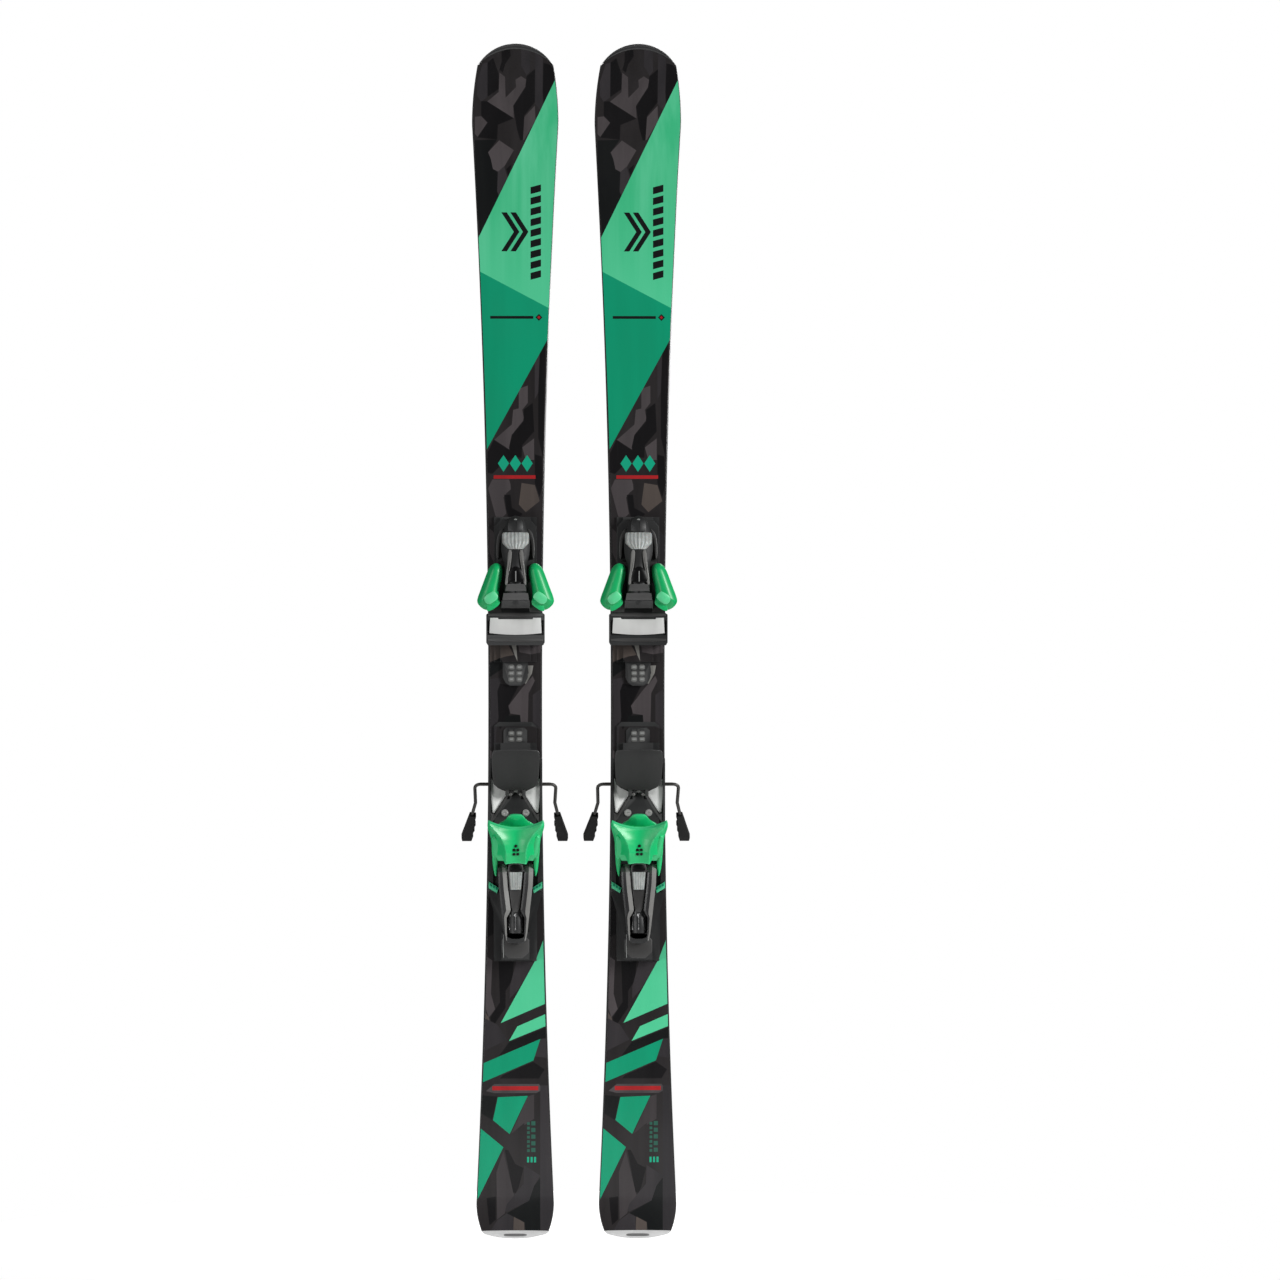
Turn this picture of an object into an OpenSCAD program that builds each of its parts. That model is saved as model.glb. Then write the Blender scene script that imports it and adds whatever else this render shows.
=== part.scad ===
// A pair of alpine skis with release bindings, stood upright side by side.
// Row frame: +X to the right, +Z from tail to tip, the top sheets face -Y, the tails stand on z = 0.
// Every piece is drawn flat in the ski's own frame, where x is across the ski, y runs from
// tail to tip and z is the height above the snow. on_ski() then stands it up.

/* [Pair] */
// Distance between the two skis' centre lines
pair_pitch = 176; // [170:1:240]

/* [Ski] */
// Straight length from tail to tip
ski_len = 1712; // [1705:1:1725]
// Width at the narrowest place, under the boot
waist_w = 77.2; // [76:0.2:80]
// Distance of the narrowest place from the tail
waist_y = 765; // [755:1:775]
// Radius of the side cut
sidecut_r = 14800; // [14500:100:15500]
// Height of the flat deck that carries the binding
deck_z = 20; // [19:0.5:21]
// Gap under the waist when the ski is not loaded
camber = 4; // [2:0.5:5]
// Height of the tip above the snow
tip_rise = 56; // [45:1:65]
// Height of the tail above the snow
tail_rise = 8; // [4:1:12]
// Thickness of the shovel and the tail
end_t = 6; // [5.5:0.5:7]

/* [Binding] */
// Height of the boot's sole above the snow
sole_z = 50; // [49:0.5:52]
// How far the brake arms point down when no boot is in
brake_angle = 47; // [42:1:50]
// How far the heel cup is tipped back when no boot is in
cup_angle = 35; // [30:1:36]

/* [Hidden] */
$fn = 48;
eps = 0.01;
fit = 0.3;                       // gap round a sliding part
run = 0.06;                      // gap round a pin
stand_y = 26;                    // row Y of the snow side of the skis

SIDES = ["left", "right"];
PIECES = [
    "ski_base", "ski_edges", "ski_core", "ski_sidewalls", "ski_topsheet", "ski_end_guards",
    "toe_rail", "heel_rail", "rail_screws",
    "toe_carriage", "toe_housing", "toe_window", "toe_wing_pins", "toe_wing_l", "toe_wing_r",
    "afd_pad", "toe_setting_screw", "toe_spring",
    "heel_carriage", "heel_housing", "heel_window", "heel_fasteners", "heel_spring",
    "heel_cup", "heel_lever", "heel_setting_screw",
    "brake_plate", "brake_arms", "brake_tips", "brake_pedal"
];

// ---------------------------------------------------------------- ski: lengthwise shape
contact_rear = 60;
contact_front = 1480;
deck_rear = 395;
deck_front = 1050;
tail_y = 11;                     // where the tail guard starts
tail_wide_y = 50;
tail_side_r = 105;
tail_end_r = 150;
tip_wide_y = 1600;
tip_entry_r = 440;
tip_r = 63.4;                    // the tip guard's outer arc
tip_c = ski_len - tip_r;
shoulder = [53.7, ski_len - 29.5];
guard_depth = 6.7;               // the guard's depth on the centre line
guard_sag = ski_len - guard_depth - shoulder[1];
guard_r = (shoulder[0] * shoulder[0] + guard_sag * guard_sag) / (2 * guard_sag);
guard_c = ski_len - guard_depth - guard_r;

base_t = 2;
edge_w = 2.2;
wall_w = 6;
sheet_t = 0.9;

function smooth(u) = u * u * (3 - 2 * u);
function arched(y) = let (u = (y - contact_rear) / (contact_front - contact_rear)) 4 * camber * u * (1 - u);
function snow_z(y) =
    y < contact_rear ? tail_rise * pow((contact_rear - y) / contact_rear, 2) :
    y > contact_front ? tip_rise * pow((y - contact_front) / (ski_len - contact_front), 2.2) :
    arched(y);
function deck(y) =
    y <= contact_rear || y >= contact_front ? snow_z(y) + end_t :
    y < deck_rear ? end_t + (deck_z - end_t) * smooth((y - contact_rear) / (deck_rear - contact_rear)) :
    y > deck_front ? end_t + (deck_z - end_t) * smooth((contact_front - y) / (contact_front - deck_front)) :
    deck_z;

// Height of a layer's face: [0, t] is t above the snow side, [1, t] is t below the deck.
function face_z(f, y) = f[0] == 0 ? snow_z(y) + f[1] : deck(y) - f[1];

function steps(a, b, n) = [for (i = [0:n]) a + (b - a) * i / n];
profile_ys = concat(
    steps(0, contact_rear, 6), steps(contact_rear + 33.5, deck_rear, 9),
    steps(deck_front, contact_front, 12), steps(contact_front + 14.5, ski_len, 15));

module layer(low, high) {
    n = len(profile_ys);
    rotate([90, 0, 90]) translate([0, 0, -90]) linear_extrude(180) polygon(concat(
        [for (y = profile_ys) [y, face_z(low, y)]],
        [for (i = [n - 1:-1:0]) [profile_ys[i], face_z(high, profile_ys[i])]]));
}

// ---------------------------------------------------------------- ski: outline from above
function drop(r, d) = r - sqrt(r * r - d * d);
function side_x(y) =
    y < tail_wide_y ? side_x(tail_wide_y) - drop(tail_side_r, tail_wide_y - y) :
    y > tip_wide_y ? side_x(tip_wide_y) - drop(tip_entry_r, y - tip_wide_y) :
    waist_w / 2 + pow(y - waist_y, 2) / (2 * sidecut_r);

side_ys = concat(
    [tail_y, 20, 30, 40], steps(tail_wide_y, tip_wide_y, 26),
    steps(tip_wide_y + 16, shoulder[1], 4));

function arc(c, r, a0, a1, n) =
    [for (i = [0:n]) let (a = a0 + (a1 - a0) * i / n) [c[0] + r * cos(a), c[1] + r * sin(a)]];
function mirrored(half) = concat(half, [for (i = [len(half) - 1:-1:0]) [-half[i][0], half[i][1]]]);

guard_a = atan2(shoulder[1] - guard_c, shoulder[0]);
tip_a = atan2(shoulder[1] - tip_c, shoulder[0]);
guard_arc = arc([0, guard_c], guard_r, guard_a, 90, 12);

// The outline between the two end guards, with its sides moved in by d.
module plan(d = 0) polygon(mirrored(concat(
    [for (y = side_ys) [side_x(y) - d, y]],
    [for (p = guard_arc) if (p[0] < shoulder[0] - d - 0.5 && p[0] > 0.5) p])));

module tip_plan() difference() {
    polygon(mirrored([for (p = arc([0, tip_c], tip_r, tip_a, 90, 14)) [max(p[0], eps), p[1]]]));
    plan();
}

tail_half_w = side_x(tail_y);
module tail_plan() polygon(mirrored(concat(
    [for (x = [0.01, 12, 24, 36]) [x, x * x / (2 * tail_end_r)]],
    [[43, 6.2], [47, 8.2], [tail_half_w - 0.6, tail_y - 0.7], [tail_half_w, tail_y]])));

// ---------------------------------------------------------------- small tools
module on_ski(s) translate([s * pair_pitch / 2, stand_y, 0]) rotate([90, 0, 0]) children();
module along(y0, y1) translate([0, y1, 0]) rotate([90, 0, 0]) linear_extrude(y1 - y0) children();
module across(x0, x1) translate([x0, 0, 0]) rotate([90, 0, 90]) linear_extrude(x1 - x0) children();
module rod_x(r, x0, x1, y, z) translate([x0, y, z]) rotate([0, 90, 0]) cylinder(r = r, h = x1 - x0);
module rod_y(r, y0, y1, z) translate([0, y0, z]) rotate([-90, 0, 0]) cylinder(r = r, h = y1 - y0);
module rod_z(r, x, y, z0, z1) translate([x, y, z0]) cylinder(r = r, h = z1 - z0);
module block(x, y0, y1, z0, z1) translate([-x, y0, z0]) cube([2 * x, y1 - y0, z1 - z0]);
module both() {
    children();
    mirror([1, 0, 0]) children();
}
module slab(z, h) translate([0, 0, z]) linear_extrude(h) children();
module block_at(x0, x1, y0, y1, z0, z1) translate([x0, y0, z0]) cube([x1 - x0, y1 - y0, z1 - z0]);
module sym(half) polygon(mirrored(half));
module spin_x(y, z, a) translate([0, y, z]) rotate([a, 0, 0]) translate([0, -y, -z]) children();

// A coil along +y, swept as one closed tube.
module coil(y0, y1, z, r, wire_r, turns) {
    sides = 8;
    per_turn = 12;
    n = turns * per_turn;
    pts = [for (i = [0:n]) let (a = 360 * i / per_turn, y = y0 + wire_r + (y1 - y0 - 2 * wire_r) * i / n)
        for (k = [0:sides - 1]) let (b = 360 * k / sides, q = r + wire_r * cos(b))
            [q * cos(a), y + wire_r * sin(b), z + q * sin(a)]];
    walls = [for (i = [0:n - 1]) for (k = [0:sides - 1]) let (m = (k + 1) % sides)
        [i * sides + k, (i + 1) * sides + k, (i + 1) * sides + m, i * sides + m]];
    polyhedron(pts, concat(
        [[for (k = [0:sides - 1]) k]], walls, [[for (k = [sides - 1:-1:0]) n * sides + k]]), convexity = 10);
}

// ---------------------------------------------------------------- rails and their screws
rail_w = 30.5;
rail_z = deck_z + 2.5;
lip_z = rail_z + 2;
head_z = rail_z + 4.5;
head_w = 21.5;
neck_w = 17.5;
toe_rail_y = [796, 1036];
heel_rail_y = [399, 742];
screw_x = 26;
screw_r = 2.2;
screw_depth = 8.5;
toe_screw_ys = [842, 1020];
heel_screw_ys = [412, 728];

module rail_section() sym([
    [rail_w, deck_z], [rail_w, rail_z], [neck_w, rail_z],
    [neck_w, lip_z], [head_w, lip_z], [head_w, head_z]]);
module channel_section() sym([
    [neck_w + fit, rail_z - 2], [neck_w + fit, lip_z - fit],
    [head_w + fit, lip_z - fit], [head_w + fit, head_z + fit]]);

module rail_screw(x, y) translate([x, y, 0]) {
    translate([0, 0, rail_z - 2]) cylinder(r1 = screw_r, r2 = 4, h = 2);
    translate([0, 0, deck_z - screw_depth]) cylinder(r = screw_r, h = screw_depth + 1);
}
module screw_shanks() for (y = concat(toe_screw_ys, heel_screw_ys)) both()
    rod_z(screw_r, screw_x, y, deck_z - screw_depth, deck_z + 1);
module screws_of(ys) for (y = ys) both() rail_screw(screw_x, y);

module screw_slots() for (y = concat(toe_screw_ys, heel_screw_ys)) both()
    translate([screw_x, y, rail_z]) for (a = [0, 90]) rotate(a) cube([4.6, 1, 1.2], center = true);

// Boot length scale: raised cells on the tongue that each rail shows next to its carriage.
module scale_cells(y0) for (row = [0:2]) both()
    block_at(3, 9, y0 + 7 * row, y0 + 5 + 7 * row, deck_z + 4, deck_z + 4.5);

module toe_rail() color("dimgray") difference() {
    union() {
        along(828, toe_rail_y[1]) rail_section();
        slab(deck_z, 4) sym([[8, 794], [14, 798], [18, 806], [18, 828]]);
        scale_cells(801);
    }
    screws_of(toe_screw_ys);
}

module heel_rail() color("dimgray") difference() {
    union() {
        along(heel_rail_y[0], 712) rail_section();
        slab(deck_z, 2.5) sym([[rail_w, 711.9], [rail_w, 736], [24, heel_rail_y[1]]]);
        slab(deck_z, 4) sym([[17, 711.9], [17, 730], [13, 734]]);
        scale_cells(713);
    }
    screws_of(heel_screw_ys);
}

module rail_screws() color("silver") difference() {
    union() {
        screws_of(toe_screw_ys);
        screws_of(heel_screw_ys);
    }
    screw_slots();
}

// ---------------------------------------------------------------- toe piece
wing_pivot = [26, 956];
wing_pin_r = 3;
toe_axis_z = 44;
spring_r = 6.6;
spring_wire_r = 1.2;
toe_bore_r = 9;
toe_housing_w = 15.5;
afd_y = [867, 887.5];
afd_x = 36.8;
afd_travel = 3;

module toe_carriage() color("dimgray") difference() {
    union() {
        slab(rail_z + fit, 33 - rail_z - fit)
            sym([[38, 853], [38, 905], [30, 912], [30, 1022], [22, 1031]]);
        // stage that carries the anti-friction pad, with the ramp in front of it
        slab(32, sole_z - 33.5) sym([[39.5, 852], [41.8, 856], [41.8, 896], [38, 899]]);
        across(-33, 33) polygon([[896, 32], [896, sole_z - 3], [907, sole_z - 6], [915, 40], [915, 32]]);
        // lobes under the wings
        both() rod_z(9.5, wing_pivot[0], wing_pivot[1], 32, 46);
        block(26, 944, 971.7, 32, 46);
    }
    along(800, 1050) channel_section();
    block(afd_x + afd_travel + fit, afd_y[0] - fit, afd_y[1] + fit, sole_z - 4 - fit, sole_z + 9);
    block(30, afd_y[0] + 4, afd_y[1] - 4, sole_z - 9, sole_z + 9);
    both() rod_z(wing_pin_r, wing_pivot[0], wing_pivot[1], 29, 60);
    rod_y(toe_bore_r + fit, 927, 1008, toe_axis_z);
}

module toe_housing() color("dimgray") difference() {
    union() {
        intersection() {
            across(-22, 22) polygon([
                [905, 46], [905, 62], [911, 72], [931, 79], [958, 79], [984, 65], [1014, 52.5],
                [1030, 49], [1034, 44], [1034, 33], [972, 33], [972, 46]]);
            along(900, 1040) sym([[21.5, 33], [21.5, 52], [19, 58], [14, 64], [12.5, 80]]);
            linear_extrude(100) sym([
                [toe_housing_w, 905], [toe_housing_w, 968], [21.5, 978], [21.5, 1012], [12, 1034]]);
        }
        block(toe_housing_w - 1, 915.2, 944, 33, 50);
    }
    rod_y(toe_bore_r, 928, 1006, toe_axis_z);
    rod_y(4 + run, 1000, 1040, toe_axis_z);
    rod_y(6.2, 1028, 1040, toe_axis_z);
    // seat of the window
    intersection() {
        across(-30, 30) polygon([[984, 62], [1013, 49.9], [1013, 70], [984, 70]]);
        linear_extrude(100) window_plan();
    }
}

module window_plan() sym([[12, 983.9], [19.4, 992], [19.4, 1013.1]]);
module toe_window() color("lightgray") intersection() {
    across(-30, 30) polygon([[984, 62], [1013, 49.9], [1013, 54], [1001, 60.5], [984, 66.5]]);
    linear_extrude(100) window_plan();
    along(900, 1040) sym([[19.3, 45], [19.3, 55], [16, 61.5], [10, 67]]);
}

module toe_wing_pins() color("silver") both() {
    rod_z(wing_pin_r, wing_pivot[0], wing_pivot[1], 29.5, 73);
    rod_z(4.5, wing_pivot[0], wing_pivot[1], 71.3, 73);
}

// One wing, drawn on the right-hand side. It grips the boot's toe from the side and above.
module toe_wing() color("mediumseagreen") difference() {
    union() {
        hull() {
            rod_z(8, wing_pivot[0], wing_pivot[1], 47, 66);
            slab(47, 21) polygon([[22.5, 937], [26.5, 922], [40, 905], [54, 913], [50, 927], [41, 948]]);
        }
        hull() {
            slab(66, 1) polygon([
                [23, 930], [26.5, 918], [40, 903], [53, 912], [50, 925], [42, 944], [28, 950]]);
            slab(76, 1) polygon([[25, 922], [22, 913], [38, 901.5], [47, 907], [45, 920], [38, 936]]);
        }
        // claw over the toe lug
        slab(68, 8) polygon([[21, 912.5], [37, 900.1], [42.5, 900.1], [50, 907], [40, 925], [27, 925]]);
        rod_z(8, wing_pivot[0], wing_pivot[1], 46 + fit, 71);
    }
    rod_z(wing_pin_r + run, wing_pivot[0], wing_pivot[1], 40, 90);
}

module afd_pad() color("whitesmoke") union() {
    slab(sole_z - 4, 4) sym([[30, afd_y[0] + 0.6], [afd_x, afd_y[0]], [afd_x, afd_y[1]]]);
    block(26, afd_y[0] + 4.5, afd_y[1] - 4.5, sole_z - 8.5, sole_z - 3);
}

module toe_setting_screw() color("silver") difference() {
    union() {
        rod_y(4, 934, 1029, toe_axis_z);
        rod_y(5.8, 1028.3, 1032.5, toe_axis_z);
    }
    translate([0, 1032.5, toe_axis_z]) cube([8, 3, 1.4], center = true);
}

module toe_spring() color("silver") coil(928, 1006, toe_axis_z, spring_r, spring_wire_r, 8);

// ---------------------------------------------------------------- heel piece
cup_pivot = [560, 48];
lever_pivot = [531, 56];
barrel_z = 50;
barrel_r = 12.5;
brake_pivot = [653, 31];
pedal_pivot = [643, 41];
wire_r = 2.5;
plate_z = 35;
plate_screw = [15, 612];
cup_pin_r = 4;
lever_pin_r = 3;
pedal_pin_r = 2;
crank_len = 24;
crank_angle = 66;
pedal_angle = 25;                // how far the pedal stands up when no boot is in

module heel_carriage() color("dimgray") difference() {
    union() {
        slab(rail_z + fit, plate_z - rail_z - fit)
            sym([[28, 401], [31, 405], [31, 470], [38.5, 497], [38.5, 690]]);
        // side walls next to the brake plate
        both() block_at(35.6, 38.5, 600, 684, plate_z - 1, plate_z + 5);
        // spring box at the rear end
        block(20, 402, 441, plate_z - 1, 45);
        // saddle under the barrel
        block(11, 445, 548, plate_z - 1, 43);
        // ears that hold the cup's pin
        both() across(26, 32)
            polygon([[540, 34], [548, 52], [553, 56.5], [567, 56.5], [572, 52], [580, 34]]);
        both() across(32, 38.4) polygon([[498, 34], [500, 38], [556, 44], [590, 36], [592, 34]]);
        // lugs that hold the pedal
        both() across(3, 8) polygon([[634, 34], [638.5, 43.5], [641, 45], [646.5, 45], [650, 34]]);
        slab(plate_z - 1, 4.2)
            sym([[30, 592], [30, 604], [26, 607], [14, 631.5], [8, 631.5], [8, 650]]);
    }
    along(380, 720) channel_section();
    rod_x(wire_r + run, -50, 50, brake_pivot[0], brake_pivot[1]);
    block(17, brake_pivot[0] - 4, 691, head_z, plate_z + eps);
    both() block_at(8.2, 17, 640, 655, head_z, plate_z + 6);
    rod_x(cup_pin_r, -40, 40, cup_pivot[0], cup_pivot[1]);
    rod_x(pedal_pin_r, -20, 20, pedal_pivot[0], pedal_pivot[1]);
    rod_y(barrel_r, 440, 545, barrel_z);
    both() rod_z(2.5, plate_screw[0], plate_screw[1], plate_z - 6, 60);
    plate_body();
}

module plate_body() slab(plate_z - 1.2, 1.2) difference() {
    sym([[35.2, 598], [35.2, 688], [30, 690.5]]);
    sym([[30.3, 591], [30.3, 604.2], [26.3, 607.3], [8.3, 646.3], [7.3, 650.3]]);
    sym([[17.3, 648], [17.3, 692]]);
}
module brake_plate() color("gainsboro") plate_body();

module heel_housing() color("dimgray") difference() {
    union() {
        rod_y(barrel_r, 440, 544, barrel_z);
        across(-10, 10) polygon([[468, 52], [468, 60], [500, 66], [529, 68], [529, 52]]);
        both() block_at(6, 12.4, 523, 541, 50, 62);
    }
    rod_y(8.8, 462, 521, barrel_z);
    rod_y(4.5 + run, 446, 463, barrel_z);
    rod_y(9.2, 430, 447, barrel_z);
    rod_x(lever_pin_r, -30, 30, lever_pivot[0], lever_pivot[1]);
    across(-9.4, 9.4) polygon([[500, 64], [527, 65.9], [527, 80], [500, 80]]);
}

module heel_window() color("lightgray") intersection() {
    across(-9.3, 9.3) polygon([[500, 64], [527, 65.9], [527, 69.5], [500, 67.5]]);
    linear_extrude(100) sym([[7, 500], [9.3, 524], [9.3, 527]]);
}

module heel_fasteners() color("silver") {
    rod_x(cup_pin_r, -32, 32, cup_pivot[0], cup_pivot[1]);
    rod_x(lever_pin_r, -25, 25, lever_pivot[0], lever_pivot[1]);
    rod_x(pedal_pin_r, -14, 14, pedal_pivot[0], pedal_pivot[1]);
    both() {
        rod_z(2.5, plate_screw[0], plate_screw[1], plate_z - 5.5, plate_z + 3.4);
        difference() {
            rod_z(4, plate_screw[0], plate_screw[1], plate_z + 3.2, plate_z + 5.4);
            for (a = [0, 90]) translate([plate_screw[0], plate_screw[1], plate_z + 5.4])
                rotate(a) cube([5, 1, 1.6], center = true);
        }
    }
}

module heel_spring() color("silver") coil(463, 521, barrel_z, spring_r, spring_wire_r, 7);

// The cup as it closes on a boot, tipped back by cup_angle when it stands open.
module closed_cup() difference() {
    union() {
        // roof with its two ears
        hull() {
            slab(81, 1) sym([[24, 560], [30, 574], [35, 600], [40, 618], [38, 620]]);
            slab(87, 1) sym([[16, 561], [20, 585], [30, 612]]);
        }
        hull() {
            slab(86, 1) sym([[14, 560], [15, 590], [19, 606]]);
            slab(93, 1) sym([[10, 562], [11, 588]]);
        }
        // back wall and cheeks
        slab(55, 27) sym([[24, 560], [30, 574], [33, 604]]);
        // bridge down to the pivot and the treadle
        across(-25, 25) polygon([[556, 56], [556, 40], [566, 39], [600, 46], [606, 56]]);
        across(-15, 15) polygon([[590, 46], [622, 49], [628, 52], [628, 54.5], [590, 56]]);
    }
    // room for the boot's heel
    slab(54.5, 26.5) sym([[18, 596], [26, 601], [29, 612], [34, 640]]);
    // cut back the roof's front edge between the ears
    slab(80, 20)
        polygon([[-36, 640], [-30, 622], [-14, 611], [14, 611], [30, 622], [36, 640]]);
    // room for the pin and the ears that hold it
    rod_x(cup_pin_r + run, -60, 60, cup_pivot[0], cup_pivot[1]);
    both() rod_x(13.4, 25.4, 60, cup_pivot[0], cup_pivot[1]);
}
module heel_cup() color("mediumseagreen") spin_x(cup_pivot[0], cup_pivot[1], cup_angle) closed_cup();

module heel_lever() color("dimgray") difference() {
    intersection() {
        across(-30, 30) polygon([
            [539, 56], [536, 63], [528, 67], [480, 65], [436, 61],
            [426, 57], [426, 52], [440, 50], [520, 48], [536, 50]]);
        linear_extrude(100) difference() {
            sym([[13, 426], [16, 440], [24, 510], [24.5, 540]]);
            sym([[11.5, 436], [barrel_r + 0.7, 440], [barrel_r + 0.7, 541]]);
        }
    }
    rod_x(lever_pin_r + run, -30, 30, lever_pivot[0], lever_pivot[1]);
}

module heel_setting_screw() color("silver") difference() {
    union() {
        rod_y(4.5, 446.5, 466, barrel_z);
        rod_y(8.4, 442.5, 446.7, barrel_z);
    }
    translate([0, 442.5, barrel_z]) cube([12, 3, 1.6], center = true);
}

// ---------------------------------------------------------------- brake
// A bent wire swept along points in the plane of the arms: x across, y away from the shaft.
// A turn's ring is widened so that the wire keeps its thickness.
module wire(path, r) {
    sides = 16;
    n = len(path);
    rings = [for (i = [0:n - 1]) let (
        a = path[max(i - 1, 0)], b = path[i], c = path[min(i + 1, n - 1)],
        t0 = i == 0 ? (c - b) / norm(c - b) : (b - a) / norm(b - a),
        t1 = i == n - 1 ? t0 : (c - b) / norm(c - b),
        m = (t0 + t1) / norm(t0 + t1), wide = r / (m * t0))
        for (k = [0:sides - 1]) let (q = 360 * k / sides)
            [b[0] - m[1] * wide * cos(q), b[1] + m[0] * wide * cos(q), r * sin(q)]];
    walls = [for (i = [0:n - 2]) for (k = [0:sides - 1]) let (m = (k + 1) % sides)
        [i * sides + k, (i + 1) * sides + k, (i + 1) * sides + m, i * sides + m]];
    polyhedron(rings, concat(
        [[for (k = [0:sides - 1]) k]], walls,
        [[for (k = [sides - 1:-1:0]) (n - 1) * sides + k]]), convexity = 6);
}
wire_path = concat([[44, 0], [50, 0]], arc([50, 8], 8, -67.5, 0, 3), [[57, 40], [61, 62], [69, 104]]);

module arm_plane() translate([0, brake_pivot[0], brake_pivot[1]])
    rotate([180 + brake_angle, 0, 0]) children();

module brake_arms() color("dimgray") {
    arm_plane() both() wire(wire_path, wire_r - 0.1);
    rod_x(wire_r, -50, 50, brake_pivot[0], brake_pivot[1]);
    // crank that lifts the pedal
    both() difference() {
        spin_x(brake_pivot[0], brake_pivot[1], crank_angle) across(10, 14)
            translate(brake_pivot) polygon(concat([[0, -2.2], [crank_len, -2]],
                arc([crank_len, 0], 2, -60, 60, 4), [[crank_len, 2], [0, 2.2]]));
        rod_x(wire_r - 0.5, 0, 20, brake_pivot[0], brake_pivot[1]);
    }
}

module brake_tips() color("dimgray") arm_plane() both() difference() {
    slab(-4.5, 9)
        polygon([
            [56, 66], [65, 64.5], [70, 84], [77, 112], [76, 118.5], [62.5, 118.5],
            [60, 108], [61.5, 104], [58, 96], [60, 92], [56.5, 84], [58.5, 80]]);
    wire(wire_path, wire_r - 0.1);
}

module brake_pedal() color("dimgray") spin_x(pedal_pivot[0], pedal_pivot[1], pedal_angle) difference() {
    union() {
        difference() {
            slab(pedal_pivot[1] - 3.5, sole_z - pedal_pivot[1] + 3.5)
                sym([[16, 638], [27, 642], [31, 664], [32, 690], [32, 708], [30, 711]]);
            slab(pedal_pivot[1] - 4, sole_z - pedal_pivot[1] + 1)
                sym([[9, 630], [9, 652], [26, 654], [28, 664], [29, 707]]);
        }
        // tracks that the cranks slide along
        both() across(9.5, 14.5) polygon([
            [663, sole_z - 2.5], [664, sole_z - 3], [671.4, 43.8],
            [676.5, 41.4], [681, 39.5], [686, sole_z - 2.5]]);
    }
    rod_x(pedal_pin_r + run, -40, 40, pedal_pivot[0], pedal_pivot[1]);
}

// ---------------------------------------------------------------- ski layers
module ski_base() color("black") intersection() {
    layer([0, 0], [0, base_t]);
    linear_extrude(200) plan(edge_w);
}
module side_strips(d) difference() {
    plan();
    plan(d);
}
module ski_edges() color("silver") intersection() {
    layer([0, 0], [0, base_t]);
    linear_extrude(200) side_strips(edge_w);
}
module ski_sidewalls() color("black") intersection() {
    layer([0, base_t], [1, sheet_t]);
    linear_extrude(200) side_strips(wall_w);
}
module ski_core() color("burlywood") difference() {
    intersection() {
        layer([0, base_t], [1, sheet_t]);
        linear_extrude(200) plan(wall_w);
    }
    screw_shanks();
}
module ski_topsheet() color("seagreen") difference() {
    intersection() {
        layer([1, sheet_t], [1, 0]);
        linear_extrude(200) plan();
    }
    screw_shanks();
}
module ski_end_guards() color("silver") intersection() {
    layer([0, 0], [1, 0]);
    linear_extrude(200) union() {
        tip_plan();
        tail_plan();
    }
}

// ---------------------------------------------------------------- the pair
module piece(name) {
    if (name == "ski_base") ski_base();
    if (name == "ski_edges") ski_edges();
    if (name == "ski_core") ski_core();
    if (name == "ski_sidewalls") ski_sidewalls();
    if (name == "ski_topsheet") ski_topsheet();
    if (name == "ski_end_guards") ski_end_guards();
    if (name == "toe_rail") toe_rail();
    if (name == "heel_rail") heel_rail();
    if (name == "rail_screws") rail_screws();
    if (name == "toe_carriage") toe_carriage();
    if (name == "toe_housing") toe_housing();
    if (name == "toe_window") toe_window();
    if (name == "toe_wing_pins") toe_wing_pins();
    if (name == "toe_wing_l") mirror([1, 0, 0]) toe_wing();
    if (name == "toe_wing_r") toe_wing();
    if (name == "afd_pad") afd_pad();
    if (name == "toe_setting_screw") toe_setting_screw();
    if (name == "toe_spring") toe_spring();
    if (name == "heel_carriage") heel_carriage();
    if (name == "heel_housing") heel_housing();
    if (name == "heel_window") heel_window();
    if (name == "heel_fasteners") heel_fasteners();
    if (name == "heel_spring") heel_spring();
    if (name == "heel_cup") heel_cup();
    if (name == "heel_lever") heel_lever();
    if (name == "heel_setting_screw") heel_setting_screw();
    if (name == "brake_plate") brake_plate();
    if (name == "brake_arms") brake_arms();
    if (name == "brake_tips") brake_tips();
    if (name == "brake_pedal") brake_pedal();
}

for (i = [0:1]) for (p = PIECES)
    on_ski(2 * i - 1) piece(p);
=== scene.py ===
import math

import bpy
import bmesh
from mathutils import Matrix, Vector
from mathutils.geometry import tessellate_polygon


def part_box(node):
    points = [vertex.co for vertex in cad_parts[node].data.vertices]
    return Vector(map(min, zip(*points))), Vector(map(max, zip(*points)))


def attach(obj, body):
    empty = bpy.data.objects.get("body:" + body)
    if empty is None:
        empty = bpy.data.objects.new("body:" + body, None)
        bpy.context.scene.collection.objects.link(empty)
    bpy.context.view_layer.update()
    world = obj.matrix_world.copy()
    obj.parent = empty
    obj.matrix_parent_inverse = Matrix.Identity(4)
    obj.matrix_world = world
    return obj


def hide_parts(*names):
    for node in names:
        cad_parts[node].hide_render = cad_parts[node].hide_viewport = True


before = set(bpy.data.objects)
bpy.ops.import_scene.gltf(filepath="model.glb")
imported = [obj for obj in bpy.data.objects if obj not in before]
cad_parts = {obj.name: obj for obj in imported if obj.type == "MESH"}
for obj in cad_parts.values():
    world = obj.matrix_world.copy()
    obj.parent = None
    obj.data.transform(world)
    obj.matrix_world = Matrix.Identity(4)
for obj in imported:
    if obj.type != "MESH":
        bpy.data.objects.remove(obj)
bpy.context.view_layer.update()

# ---------------------------------------------------------------- the frame
# A ski's own frame is in millimetres: x across, y from tail to tip, z above the snow side.
MM = 0.001
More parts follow.
